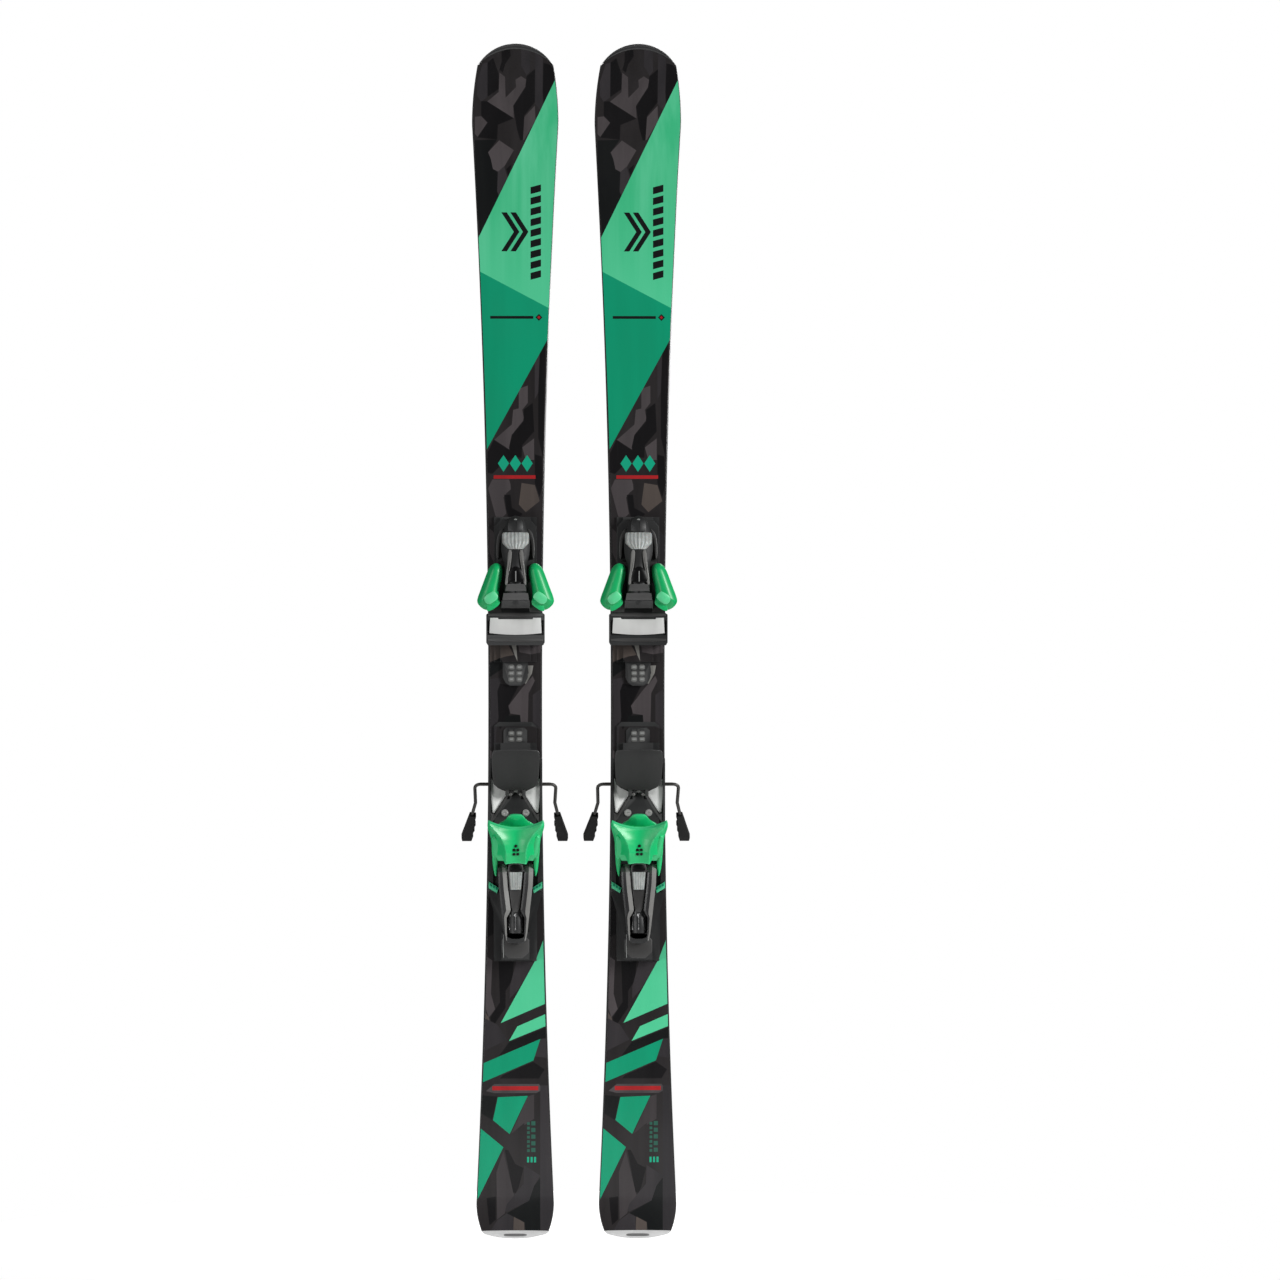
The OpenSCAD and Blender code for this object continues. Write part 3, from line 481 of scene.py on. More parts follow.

# ---------------------------------------------------------------- printed facets, in a ski's own millimetres
# Later facets lie over earlier ones. The corners were read off the photo and follow no rule.
# Those of the shovel, between the binding's halves and at the tail were scaled by a scratch script.
FACETS = [
    # shovel
    ("slate", [(-55, 1659), (-47, 1684), (-40, 1686), (-40, 1638), (-49, 1631), (-55, 1640)]),
    ("black", [(-40, 1686), (-32, 1692), (-24, 1670), (-24, 1649), (-40, 1638)]),
    ("black", [(-20, 1701), (-8, 1706), (-7, 1695), (-15, 1683), (-18, 1672), (-23, 1676), (-20, 1687)]),
    ("dark", [(-15, 1683), (-7, 1695), (8, 1696), (10, 1670), (1, 1662), (1, 1652), (-14, 1637),
    (-15, 1666)]),
    ("slate", [(8, 1708), (20, 1703), (21, 1674), (16, 1668), (8, 1681)]),
    ("mid", [(-41, 1631), (-24, 1645), (-23, 1672), (-15, 1666), (-14, 1637), (1, 1652), (0, 1662),
    (8, 1667), (16, 1662), (14, 1652), (-3, 1626), (-2, 1608)]),
    ("black", [(16, 1667), (28, 1677), (28, 1631), (13, 1612), (11, 1577), (5, 1577), (-3, 1625),
    (14, 1651)]),
    ("slate", [(28, 1700), (39, 1692), (39, 1616), (28, 1629)]),
    ("mid", [(28, 1626), (29, 1605), (13, 1578), (11, 1577), (13, 1610)]),
    ("black", [(-49, 1632), (-41, 1632), (-2, 1608), (-25, 1599), (-26, 1578), (-54, 1581), (-40, 1602),
    (-49, 1612)]),
    ("mid", [(-58, 1610), (-49, 1611), (-40, 1602), (-54, 1582), (-58, 1586)]),
    ("dark", [(-25, 1599), (-2, 1608), (7, 1577), (-1, 1564), (-24, 1578)]),
    ("ink", [(-58, 1577), (-26, 1578), (-39, 1560), (-35, 1550), (-32, 1536), (-25, 1532), (-26, 1504),
    (-23, 1496), (-50, 1435), (-57, 1500)]),
    ("mid", [(-23, 1577), (-2, 1563), (-16, 1539), (-24, 1532), (-32, 1536), (-35, 1550), (-39, 1560)]),
    ("slate", [(-25, 1532), (-16, 1540), (-11, 1524), (-23, 1498), (-26, 1504)]),
    ("black", [(-13, 1536), (-5, 1543), (-10, 1525)]),
    ("black", [(40, 1685), (49, 1683), (64, 1666), (41, 1625), (39, 1646)]),
    # in front of the binding
    ("slate", [(28, 1275), (37, 1290), (33, 1215), (28, 1205)]),
    ("black", [(36, 1290), (44, 1300), (40, 1120), (33, 1150), (33, 1215)]),
    ("mid", [(5, 1220), (18, 1225), (18, 1200), (10, 1190), (12, 1179), (11, 1174), (-5, 1154), (-9, 1133),
    (-30, 1147),
             (-5, 1169), (-3, 1190), (5, 1192)]),
    ("black", [(25, 1200), (27, 1159), (10, 1139), (9, 1121), (-5, 1123), (-9, 1136), (-5, 1154),
    (12, 1174), (12, 1190)]),
    ("mid", [(27, 1149), (27, 1118), (15, 1118), (10, 1136)]),
    ("black", [(-31, 1147), (-9, 1133), (0, 1123), (-23, 1108), (-33, 1098), (-41, 1100), (-40, 1128)]),
    ("mid", [(-33, 1090), (-9, 1090), (-5, 1077), (-13, 1070), (-17, 1064), (-13, 1041), (-23, 1031),
    (-28, 1036),
             (-35, 1062), (-39, 1077)]),
    ("black", [(-16, 1068), (-7, 1068), (-5, 1049), (10, 1041), (9, 1038), (-10, 1036), (-13, 1047)]),
    ("brown", [(9, 1085), (28, 1082), (35, 1059), (15, 1043), (5, 1054)]),
    ("dark", [(-7, 1085), (9, 1085), (5, 1054), (-5, 1052)]),
    ("black", [(28, 1126), (38, 1123), (39, 1082), (35, 1064), (28, 1085)]),
    ("lgreen", [(66, 1681), (-52, 1439), (-70, 1402), (-70, 1399), (66, 1327)]),
    ("teal", [(-70, 1399), (66, 1327), (66, 1362), (-39.8, 1135), (-70, 1070)]),
    # beside and between the binding's halves
    ("mid", [(-37, 1020), (-29, 1012), (-28, 965), (-37, 985)]),
    ("slate", [(28, 1020), (37, 1010), (37, 960), (30, 975)]),
    ("brown", [(-37, 856), (-12, 856), (-2, 838), (-14, 836), (-37, 828)]),
    ("mid", [(3, 859), (39, 859), (39, 842), (22, 839), (6, 842)]),
    ("lightsliver", [(-7, 857), (1, 857), (3, 829), (-1, 838)]),
    ("ink", [(-37, 826), (-22, 834), (-14, 822), (-24, 815), (-37, 806)]),
    ("slate", [(-38, 803), (-20, 806), (-22, 790), (-38, 778)]),
    ("lightsliver", [(18, 823), (26, 823), (24, 812), (15, 796), (12, 800), (19, 812)]),
    ("black", [(-22, 797), (4, 793), (-9, 767), (-8, 754), (-22, 731), (-27, 749), (-26, 785)]),
    ("mid", [(25, 808), (28, 801), (19, 783), (18, 740), (8, 738), (7, 752), (-7, 754), (-10, 765),
    (9, 790)]),
    ("ink", [(-14, 751), (7, 752), (8, 739), (-16, 739)]),
    ("slate", [(-35, 785), (-26, 790), (-24, 749), (-27, 731), (-35, 731)]),
    ("slate", [(25, 781), (38, 790), (38, 731), (25, 735)]),
    ("slate", [(-38, 760), (-26, 752), (-28, 708), (-38, 706)]),
    ("mid", [(-38, 702), (-33, 700), (-34, 640), (-39, 640)]),
    # behind the binding
    ("mid", [(-44, 560), (-38, 566), (-37, 500), (-43, 490)]),
    ("black", [(-44, 488), (-30, 500), (-28, 440), (-45, 430)]),
    ("slate", [(27, 560), (40, 575), (41, 500), (28, 480)]),
    ("mid", [(-45, 408), (-33, 400), (-35, 352), (-29, 330), (-38, 318), (-46, 340)]),
    ("black", [(-24, 400), (-2, 400), (-4, 372), (-14, 356), (-14, 332), (-34, 302), (-36, 318),
    (-22, 340)]),
    ("slate", [(2, 400), (30, 400), (4, 358), (-8, 345), (-8, 362)]),
    ("brown", [(-46, 330), (-38, 318), (-34, 302), (-44, 292), (-47, 296)]),
    ("lgreen", [(62, 466), (42, 434), (30, 402), (-20.7, 310), (62, 346)]),
    ("slate", [(-46, 318), (-26, 308), (-12, 286), (-48, 268)]),
    ("lgreen", [(62, 331), (3, 305), (-9, 284), (62, 313)]),
    ("ink", [(62, 311), (-9, 282), (-24, 262), (34, 286), (62, 290)]),
    ("slate", [(62, 290), (36, 287), (26, 262), (62, 258)]),
    ("teal", [(36, 287), (-60, 246), (-60, 219), (26, 256)]),
    ("black", [(26, 254), (-18, 235), (-22, 230), (34, 230), (42, 243)]),
    ("mid", [(-42, 212), (-30, 222), (34, 222), (40, 214), (30, 209), (-30, 209)]),
    ("slate", [(36, 220), (54, 220), (61, 10), (36, 10)]),
    ("grey", [(18, 204), (27, 207), (27, 172), (-6, 150)]),
    ("dark", [(-6, 150), (13, 166), (13, 105), (0, 105), (-9, 125)]),
    ("ink", [(-49, 206), (-26, 204), (-33, 170), (-49, 180)]),
    ("dark", [(-49, 178), (-33, 169), (-8, 149), (-17, 131)]),
    ("teal", [(18, 205), (-25, 203), (-32, 170), (-8, 150)]),
    ("dark", [(-26, 95), (-26, 56), (-46, 60), (-52, 60)]),
    ("grey", [(-17, 125), (-3, 66), (-1, 61), (-12, 49), (-15, 36), (-26, 27), (-27, 95)]),
    ("black", [(-15, 127), (-10, 127), (0, 107), (12, 101), (5, 73), (1, 65), (-3, 66)]),
    ("slate", [(13, 105), (36, 90), (27, 75), (20, 54), (-12, 38), (-15, 39), (-12, 49), (1, 65),
    (12, 78)]),
    ("ink", [(36, 87), (36, 10), (15, 10), (13, 24), (-12, 36), (20, 54), (27, 75)]),
    ("brown", [(-2, 31), (13, 23), (13, 10), (-3, 10)]),
    ("slate", [(-12, 36), (-3, 31), (-3, 10), (-36, 10), (-26, 26)]),
    ("black", [(-41, 58), (-28, 60), (-28, 27), (-37, 19), (-39, 36)]),
    ("teal", [(-64, 170), (-17, 131), (-52, 60), (-64, 39)]),
]


def bar(x0, x1, y0, y1, slant=0.0):
    """A four-sided outline whose far side is pushed along by slant."""
    return [(x0, y0), (x1, y0 + slant), (x1, y1 + slant), (x0, y1)]


# Plain generic marks: a column of slanted ticks, a double chevron, three diamonds and plain bars.
MARKS = (
    [("ink", bar(22, 37, 1377 + 15.4 * i, 1387 + 15.4 * i, 4)) for i in range(9)]
    + [("ink", [(-20 + dx, 1418), (-12 + dx, 1418), (6 + dx, 1446), (-2 + dx, 1446)]) for dx in (0, 13)]
    + [("ink", [(-2 + dx, 1446), (6 + dx, 1446), (-12 + dx, 1474), (-20 + dx, 1474)]) for dx in (0, 13)]
    + [("ink", bar(-36, 26, 1321, 1325)), ("ink", [(39, 1323), (34, 1328), (29, 1323), (34, 1318)])]
    + [("red", [(36.5, 1323), (34, 1325.5), (31.5, 1323), (34, 1320.5)])]
    + [("mint", [(x - 8, 1113), (x, 1101), (x + 8, 1113), (x, 1125)]) for x in (-17, 0, 17)]
    + [("red", bar(-31, 29, 1091, 1096)), ("red", bar(-33, 33, 213, 219))]
    + [("dimmint", bar(17, 21, 124 + 6.5 * i, 128 + 6.5 * i)) for i in range(7)]
    + [("dimmint", bar(23, 29, 124 + 9.6 * i, 130 + 9.6 * i)) for i in range(5)]
    + [("mint", bar(17 + dx, 20 + dx, 109, 117, 0)) for dx in (0, 5, 10)]
)


def area2(poly):
    return sum(a[0] * b[1] - b[0] * a[1] for a, b in zip(poly, poly[1:] + poly[:1]))


def half_plane(poly, a, b, keep_left):
    """The part of a polygon on one side of the line from a to b."""
    out = []
    for p, q in zip(poly, poly[1:] + poly[:1]):
        sp = (b[0] - a[0]) * (p[1] - a[1]) - (b[1] - a[1]) * (p[0] - a[0])
        sq = (b[0] - a[0]) * (q[1] - a[1]) - (b[1] - a[1]) * (q[0] - a[0])
        if not keep_left:
            sp, sq = -sp, -sq
        if sp >= 0:
            out.append(p)
        if (sp > 0 > sq) or (sp < 0 < sq):
            t = sp / (sp - sq)
            out.append((p[0] + (q[0] - p[0]) * t, p[1] + (q[1] - p[1]) * t))
    return out if len(out) > 2 and abs(area2(out)) > 1e-3 else []


def convex_parts(points):
    """A facet as it is if convex, else as triangles; every part runs anticlockwise."""
    points = points if area2(points) > 0 else points[::-1]
    corners = list(zip(points[-1:] + points[:-1], points, points[1:] + points[:1]))
    if all(area2(list(corner)) > -1e-6 for corner in corners):
        return [points]
    triangles = tessellate_polygon([[Vector((x, y, 0)) for x, y in points]])
    parts = [[points[i] for i in triangle] for triangle in triangles]
    return [part if area2(part) > 0 else part[::-1] for part in parts if abs(area2(part)) > 1e-6]


def printed_sheet(facets):
    """Every strip of the top sheet cut along the facets, as (polygon, colour)."""
    shapes = [(kind, part) for kind, points in facets for part in convex_parts(points)]
    cells = []
    for y0, y1 in zip(SHEET_YS, SHEET_YS[1:]):
        w0, w1 = (max(plan_x(y) - wall_in(y), 0.02) for y in (y0, y1))
        cell = [([(-w0, y0), (w0, y0), (w1, y1), (-w1, y1)], "dark")]
        for kind, shape in shapes:
            ys = [p[1] for p in shape]
            if max(ys) <= y0 or min(ys) >= y1:
                continue
            cut = []
            for poly, old in cell:
                rest = poly
                for a, b in zip(shape, shape[1:] + shape[:1]):
                    outside = half_plane(rest, a, b, False)
                    if outside:
                        cut.append((outside, old))
                    rest = half_plane(rest, a, b, True)
                    if not rest:
                        break
                if rest:
                    cut.append((rest, kind))
            cell = cut
        cells += cell
    return cells


PRINT_CELLS = printed_sheet(FACETS + MARKS)
PRINT_KINDS = sorted({kind for _, kind in PRINT_CELLS})


def slope(y, f, h):
    return (f(y + h) - f(y - h)) / (2 * h)


def top_sheet(side, name):
    verts, faces, kinds, found = [], [], [], {}
    for poly, kind in PRINT_CELLS:
        face = []
        for x, y in poly:
            key = (round(x, 3), round(y, 3))
            if key not in found:
                found[key] = len(verts)
                verts.append((x, y))
            if found[key] not in face:
                face.append(found[key])
        if len(face) > 2:
            faces.append(face)
            kinds.append(PRINT_KINDS.index(kind))
    heights = strip_heights(deck_z)
    points = [spot(side, x, y, heights(y)) for x, y in verts]
    obj = new_mesh(name, points, faces, [MATERIALS[k] for k in PRINT_KINDS], kinds)
    normals = [Vector((0.0, -1.0, -slope(y, deck_z, 4.0))).normalized() for _, y in verts]
    if obj.data.polygons[0].normal.y > 0:
        obj.data.flip_normals()
    obj.data.normals_split_custom_set_from_vertices(normals)
    return obj


def strip_heights(f):
    """Heights that stay flat between two stations, so every strip is plane."""
    ys = SHEET_YS

    def height(y):
        low, high = 0, len(ys) - 1
        while high - low > 1:
            middle = (low + high) // 2
            if ys[middle] <= y:
                low = middle
            else:
                high = middle
        t = (y - ys[low]) / (ys[high] - ys[low])
        return f(ys[low]) * (1 - t) + f(ys[high]) * t

    return height


def wall_section(y):
    """A side wall from the top sheet's edge down to the steel edge: (distance in from the edge, height)."""
    top, low = deck_z(y), snow_z(y) + EDGE_T
    inset, r = wall_in(y), 0.9
    lean = inset - r * 0.55
    return [
        (inset + 0.02, top - 0.01), (inset - r * 0.45, top - 0.12), (lean + 0.05, top - 0.5),
        (lean - 0.05, top - 1.1), (lean * 0.45, (top + low) / 2), (0.12, low + 0.35), (0.05, low),
    ]


def ski_shell(word, side):
    """Everything outside the core of one ski."""
    body = word + "_ski"
    sheet = top_sheet(side, word + "_print")
    finish_piece(sheet, body, "topsheet", word + "_ski_topsheet")

    rings = {1: [], -1: []}
    edge_rings = {1: [], -1: []}
    for y in BODY_YS:
        w, z = side_x(y), snow_z(y)
        for hand in (1, -1):
            rings[hand].append([spot(side, hand * (w - d), y, h) for d, h in wall_section(y)])
            edge_rings[hand].append([
                spot(side, hand * (w - 0.05), y, z + EDGE_T), spot(side, hand * w, y, z + EDGE_T - 0.15),
                spot(side, hand * w, y, z + 0.15), spot(side, hand * (w - 0.15), y, z),
                spot(side, hand * (w - EDGE_W), y, z), spot(side, hand * (w - EDGE_W), y, z + EDGE_T),
            ])
    walls = [loft(f"{word}_wall_{k}", rings[h], MATERIALS["wall"], closed_ring=False, angle=50) for k,
        h in (("a", -1), ("b", 1))]
    for wall in walls:
        finish_piece(wall, body, "sidewall")
    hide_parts(word + "_ski_sidewalls")
    edges = [loft(f"{word}_steel_{k}", edge_rings[h], MATERIALS["edge"], angle=30) for k,
        h in (("a", -1), ("b", 1))]
    for edge in edges:
        finish_piece(edge, body, "edge_steel")
    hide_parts(word + "_ski_edges")

    rows = []
    for y in SHEET_YS:
        w = max(plan_x(y) - EDGE_W, 0.02)
        rows.append([spot(side, w * k / 6, y, snow_z(y)) for k in range(-6, 7)])
    base = loft(word + "_base_sheet", rows, MATERIALS["base"], closed_ring=False, angle=60)
    finish_piece(base, body, "base", word + "_ski_base")

    finish_piece(tip_guard(word, side), body, "guard", word + "_ski_end_guards")
    finish_piece(tail_guard(word, side), body, "guard")
    finish_piece(tail_notch(word, side), body, "guard")


def arc_points(cy, r, x0, y0, n):
    """Points of an arc about (0, cy), from (x0, y0) over the top to (-x0, y0)."""
    a0 = math.atan2(y0 - cy, x0)
    angles = [a0 + (math.pi - 2 * a0) * i / n for i in range(n + 1)]
    return [(r * math.cos(a), cy + r * math.sin(a)) for a in angles]


def tip_guard(word, side):
    n = 64
    inner = arc_points(GUARD_C, GUARD_R, SHOULDER_X, SHOULDER_Y, n)
    outer = arc_points(TIP_C, TIP_R, SHOULDER_X, SHOULDER_Y, n)
    rings = []
    for (xi, yi), (xo, yo) in zip(inner, outer):
        def at(t, z_from_top=None, z_from_snow=None):
            x, y = xi + (xo - xi) * t, yi + (yo - yi) * t
            z = deck_z(y) + z_from_top if z_from_top is not None else snow_z(y) + z_from_snow
            return spot(side, x, y, z)
        rings.append([
            at(-0.10, 0.02), at(0.02, 0.35), at(0.30, 0.45), at(0.36, 0.12), at(0.44, 0.10), at(0.50, 0.42),
            at(0.82, 0.2),
            at(0.95, -0.6), at(1.0, -1.8), at(1.0, z_from_snow=1.6), at(0.96, z_from_snow=0.5),
            at(0.8, z_from_snow=0.0),
            at(0.0, z_from_snow=0.0), at(-0.1, z_from_snow=0.8),
        ])
    return loft(word + "_tip_guard", rings, MATERIALS["guard_dark"], angle=35)


def tail_end_y(x):
    """The tail's end line, rising into its rounded corners."""
    corner = 43.0
    y = x * x / (2 * TAIL_END_R)
    if abs(x) > corner:
        y += ((abs(x) - corner) / (side_x(TAIL_Y) - corner)) ** 2 * (TAIL_Y - 0.6 - y)
    return min(y, TAIL_Y - 0.4)


def tail_guard(word, side):
    w = side_x(TAIL_Y)
    n = 56
    rings = []
    for i in range(n + 1):
        x = w * math.sin(math.pi * (i / n - 0.5))
        end = tail_end_y(x)

        def at(t, top=None, snow=None):
            y = TAIL_Y + (end - TAIL_Y) * t
            return spot(side, x, y, deck_z(y) + top if top is not None else snow_z(y) + snow)
        rings.append([
            at(-0.08, -0.05), at(0.0, 0.35), at(0.2, 0.5), at(0.62, 0.45), at(0.72, 0.05), at(0.92, -0.1),
            at(1.0, -1.2), at(1.0, snow=1.4), at(0.95, snow=0.4), at(0.85, snow=0.0), at(0.0, snow=0.0),
            at(-0.05, snow=0.8),
        ])
    return loft(word + "_tail_guard", rings, MATERIALS["guard"], angle=35)


def tail_notch(word, side):
    """The dark pad for a skin clip, let into the middle of the tail guard."""
    rings = []
    for grow, lift in ((1.0, 0.38), (0.93, 0.75), (0.6, 0.8)):
        ring = []
        for k in range(28):
            a = 2 * math.pi * k / 28
            x = 17 * grow * math.copysign(abs(math.cos(a)) ** 0.6, math.cos(a))
            y = 5.4 + 2.0 * grow * math.copysign(abs(math.sin(a)) ** 0.6, math.sin(a))
            ring.append(spot(side, x, y, deck_z(y) + lift))
        rings.append(ring)
    return loft(word + "_tail_clip_pad", rings, MATERIALS["guard_line"], angle=40)


# ---------------------------------------------------------------- binding pieces taken over from the CAD


def softened(node, body, slot, material, width=0.5, segments=2, angle=28):
    """A piece with the CAD node's shape and rounded edges.

    Both sides use the right ski's mesh, moved over: a copy of the left one has black faces.
    """
    pattern = node.replace("left_", "right_")
    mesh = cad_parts[pattern].data.copy()
    mesh.transform(Matrix.Translation((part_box(node)[0][0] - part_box(pattern)[0][0], 0, 0)))
    mesh.materials.clear()
    mesh.materials.append(MATERIALS[material])
    obj = bpy.data.objects.new(node + "_shape", mesh)
    bpy.context.scene.collection.objects.link(obj)
    bm = bmesh.new()
    bm.from_mesh(mesh)
    bmesh.ops.remove_doubles(bm, verts=bm.verts, dist=0.00002)
    bmesh.ops.dissolve_limit(bm, angle_limit=math.radians(1.0), verts=bm.verts, edges=bm.edges)
    bmesh.ops.recalc_face_normals(bm, faces=bm.faces)
    for face in bm.faces:
        face.smooth = True
    bm.to_mesh(mesh)
    bm.free()
    bevel = obj.modifiers.new("broken edges", "BEVEL")
    bevel.width = width * MM
    bevel.segments = segments
    bevel.limit_method = "ANGLE"
    bevel.angle_limit = math.radians(angle)
    bevel.use_clamp_overlap = True
    weigh = obj.modifiers.new("flat faces", "WEIGHTED_NORMAL")
    weigh.weight = 80
    apply_modifiers(obj)
    return finish_piece(obj, body, slot, node)


def apply_modifiers(obj):
    bpy.context.view_layer.update()
    graph = bpy.context.evaluated_depsgraph_get()
    mesh = bpy.data.meshes.new_from_object(obj.evaluated_get(graph))
    old = obj.data
    obj.modifiers.clear()
    obj.data = mesh
    bpy.data.meshes.remove(old)
    return obj


CAD_LOOKS = {
    "toe_rail": ("ski", "binding_black", "body", 0.3), "heel_rail": ("ski", "binding_black", "body", 0.3),
    "rail_screws": ("ski", "screw_steel", "black_screw", 0.15),
    "toe_carriage": ("toe", "binding_black", "body", 0.7),
    "toe_spring": ("toe", "spring_steel", "spring", 0.0),
    "toe_setting_screw": ("toe_screw", "screw_steel", "screw", 0.3),
    "heel_carriage": ("heel", "binding_black", "body", 0.7),
    "heel_fasteners": ("heel", "screw_steel", "screw", 0.2),
    "heel_spring": ("heel", "spring_steel", "spring", 0.0),
    "heel_setting_screw": ("heel_screw", "screw_steel", "screw", 0.4),
    "brake_arms": ("brake", "brake_wire", "wire", 0.0),
    "brake_tips": ("brake", "brake_plastic", "tip", 0.8),
}


def dress_cad():
    for word in SIDES:
        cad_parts[word + "_ski_core"].data.materials.clear()
        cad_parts[word + "_ski_core"].data.materials.append(MATERIALS["core"])
        for node, (body, slot, material, width) in CAD_LOOKS.items():
            full = f"{word}_{node}"
            if width:
                softened(full, f"{word}_{body}", slot, material, width)
            else:
                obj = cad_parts[full]
                obj.data.materials.clear()
                obj.data.materials.append(MATERIALS[material])


# ---------------------------------------------------------------- sculpting in a ski's own millimetres


def rounded(outline, times=1):
    """An outline with its corners cut, and cut again."""
    for _ in range(times):
        cut = []
        for (x0, y0), (x1, y1) in zip(outline, outline[1:] + outline[:1]):
            cut += [(x0 * 0.75 + x1 * 0.25, y0 * 0.75 + y1 * 0.25),
                (x0 * 0.25 + x1 * 0.75, y0 * 0.25 + y1 * 0.75)]
        outline = cut
    return outline


def both_halves(half):
    return half + [(-x, y) for x, y in reversed(half)]


def mirrored(hand, points):
    """An outline of the ski's right half (hand 1), or the same one on its left half (hand -1)."""
    return [(hand * x, y) for x, y in points]


def oval(cx, cy, rx, ry, count):
    half = count // 2
    return [
        (cx + rx * math.cos(a * math.pi / half), cy + ry * math.sin(a * math.pi / half))
        for a in range(count)
    ]


def nearest(spine, x, y):
    """The point of a line of points that lies nearest to (x, y)."""
    best = None
    for (ax, ay), (bx, by) in zip(spine, spine[1:] or spine):
        dx, dy = bx - ax, by - ay
        length = dx * dx + dy * dy
        t = 0 if length == 0 else min(1, max(0, ((x - ax) * dx + (y - ay) * dy) / length))
        px, py = ax + dx * t, ay + dy * t
        gap = (px - x) ** 2 + (py - y) ** 2
        if best is None or gap < best[0]:
            best = (gap, px, py)
    return best[1], best[2]


def table(pairs, value):
    """Straight lines through (key, value) pairs in rising order."""
    if value <= pairs[0][0]:
        return pairs[0][1]
    for (a, fa), (b, fb) in zip(pairs, pairs[1:]):
        if value <= b:
            return fa + (fb - fa) * (value - a) / (b - a)
    return pairs[-1][1]


def along(pairs):
    """A height that depends on y only."""
    return lambda x, y: table(pairs, y)


def pillow(name, side, outline, low, top, material, spine=None, stages=(0.06, 0.16, 0.32, 0.55, 0.8),
        turn=None, angle=40):
    """A solid over an outline; its top is top(x, y, t), with t from the rim (0) to the spine (1)."""
    if spine is None:
        spine = [(sum(x for x, _ in outline) / len(outline), sum(y for _, y in outline) / len(outline))]
    place = turn or (lambda y, z: (y, z))

    def ring(t, height):
        points = []
        for x, y in outline:
            sx, sy = nearest(spine, x, y)
            px, py = x + (sx - x) * t, y + (sy - y) * t
            yy, zz = place(py, height(px, py))
            points.append(spot(side, px, yy, zz))
        return points
    rings = [ring(0.04, lambda x, y: low), ring(0.0, lambda x, y: low + 0.5)]
    rings.append(ring(0.0, lambda x, y: top(x, y, 0.0)))
    rings += [ring(t, lambda x, y, t=t: top(x, y, t)) for t in stages]
    return loft(name, rings, material, angle=angle)


def domed(z, crown, power=2.0):
    return lambda x, y, t: z + crown * (1 - (1 - t) ** power)


def prism(name, side, outline, low, high, material, edge=0.5, turn=None, angle=40):
    """A plate over an outline with a rounded upper edge."""
    cx = sum(x for x, _ in outline) / len(outline)
    cy = sum(y for _, y in outline) / len(outline)
    place = turn or (lambda y, z: (y, z))
    rings = []
    normals = []
    n = len(outline)
    flip = 1 if area2(outline) > 0 else -1
    for i in range(n):
        (ax, ay), (bx, by) = outline[i - 1], outline[(i + 1) % n]
        dx, dy = bx - ax, by - ay
        length = math.hypot(dx, dy) or 1
        normals.append((-dy / length * flip, dx / length * flip))
    top = high if callable(high) else (lambda x, y: high)
    for inset, drop in ((0.0, None), (0.0, edge), (edge * 0.3, edge * 0.3), (edge, 0.0)):
        ring = []
        for (x, y), (nx, ny) in zip(outline, normals):
            px, py = x + nx * inset, y + ny * inset
            yy, zz = place(py, low if drop is None else top(px, py) - drop)
            ring.append(spot(side, px, yy, zz))
        rings.append(ring)
    return loft(name, rings, material, angle=angle)


def slab(name, side, grid, shift, material, angle=45):
    """A solid between a grid of points and the same grid moved by shift."""
    rows, cols = len(grid), len(grid[0])
    verts = [spot(side, *p) for row in grid for p in row]
    verts += [
        spot(side, p[0] + shift(p)[0], p[1] + shift(p)[1], p[2] + shift(p)[2]) for row in grid for p in row
    ]
    back = rows * cols
    faces = []
    for r in range(rows - 1):
        for c in range(cols - 1):
            a = r * cols + c
            faces.append((a, a + 1, a + cols + 1, a + cols))
            faces.append((back + a, back + a + cols, back + a + cols + 1, back + a + 1))
    rim = [c for c in range(cols)] + [r * cols + cols - 1 for r in range(1, rows)]
    rim += [(rows - 1) * cols + c for c in range(cols - 2, -1, -1)]
    rim += [r * cols for r in range(rows - 2, 0, -1)]
    for a, b in zip(rim, rim[1:] + rim[:1]):
        faces.append((a, b, back + b, back + a))
    obj = new_mesh(name, verts, faces, [material])
    fix_normals(obj)
    return sharpen(obj, angle)


def turned(name, side, axis_z, profile, material, count=48, angle=35):
    """A solid turned about a line along the ski; profile is (y, radius)."""
    angles = [2 * math.pi * k / count for k in range(count)]
    rings = [[spot(side, r * math.cos(a), y, axis_z + r * math.sin(a)) for a in angles] for y, r in profile]
    return loft(name, rings, material, angle=angle)


# ---------------------------------------------------------------- toe piece


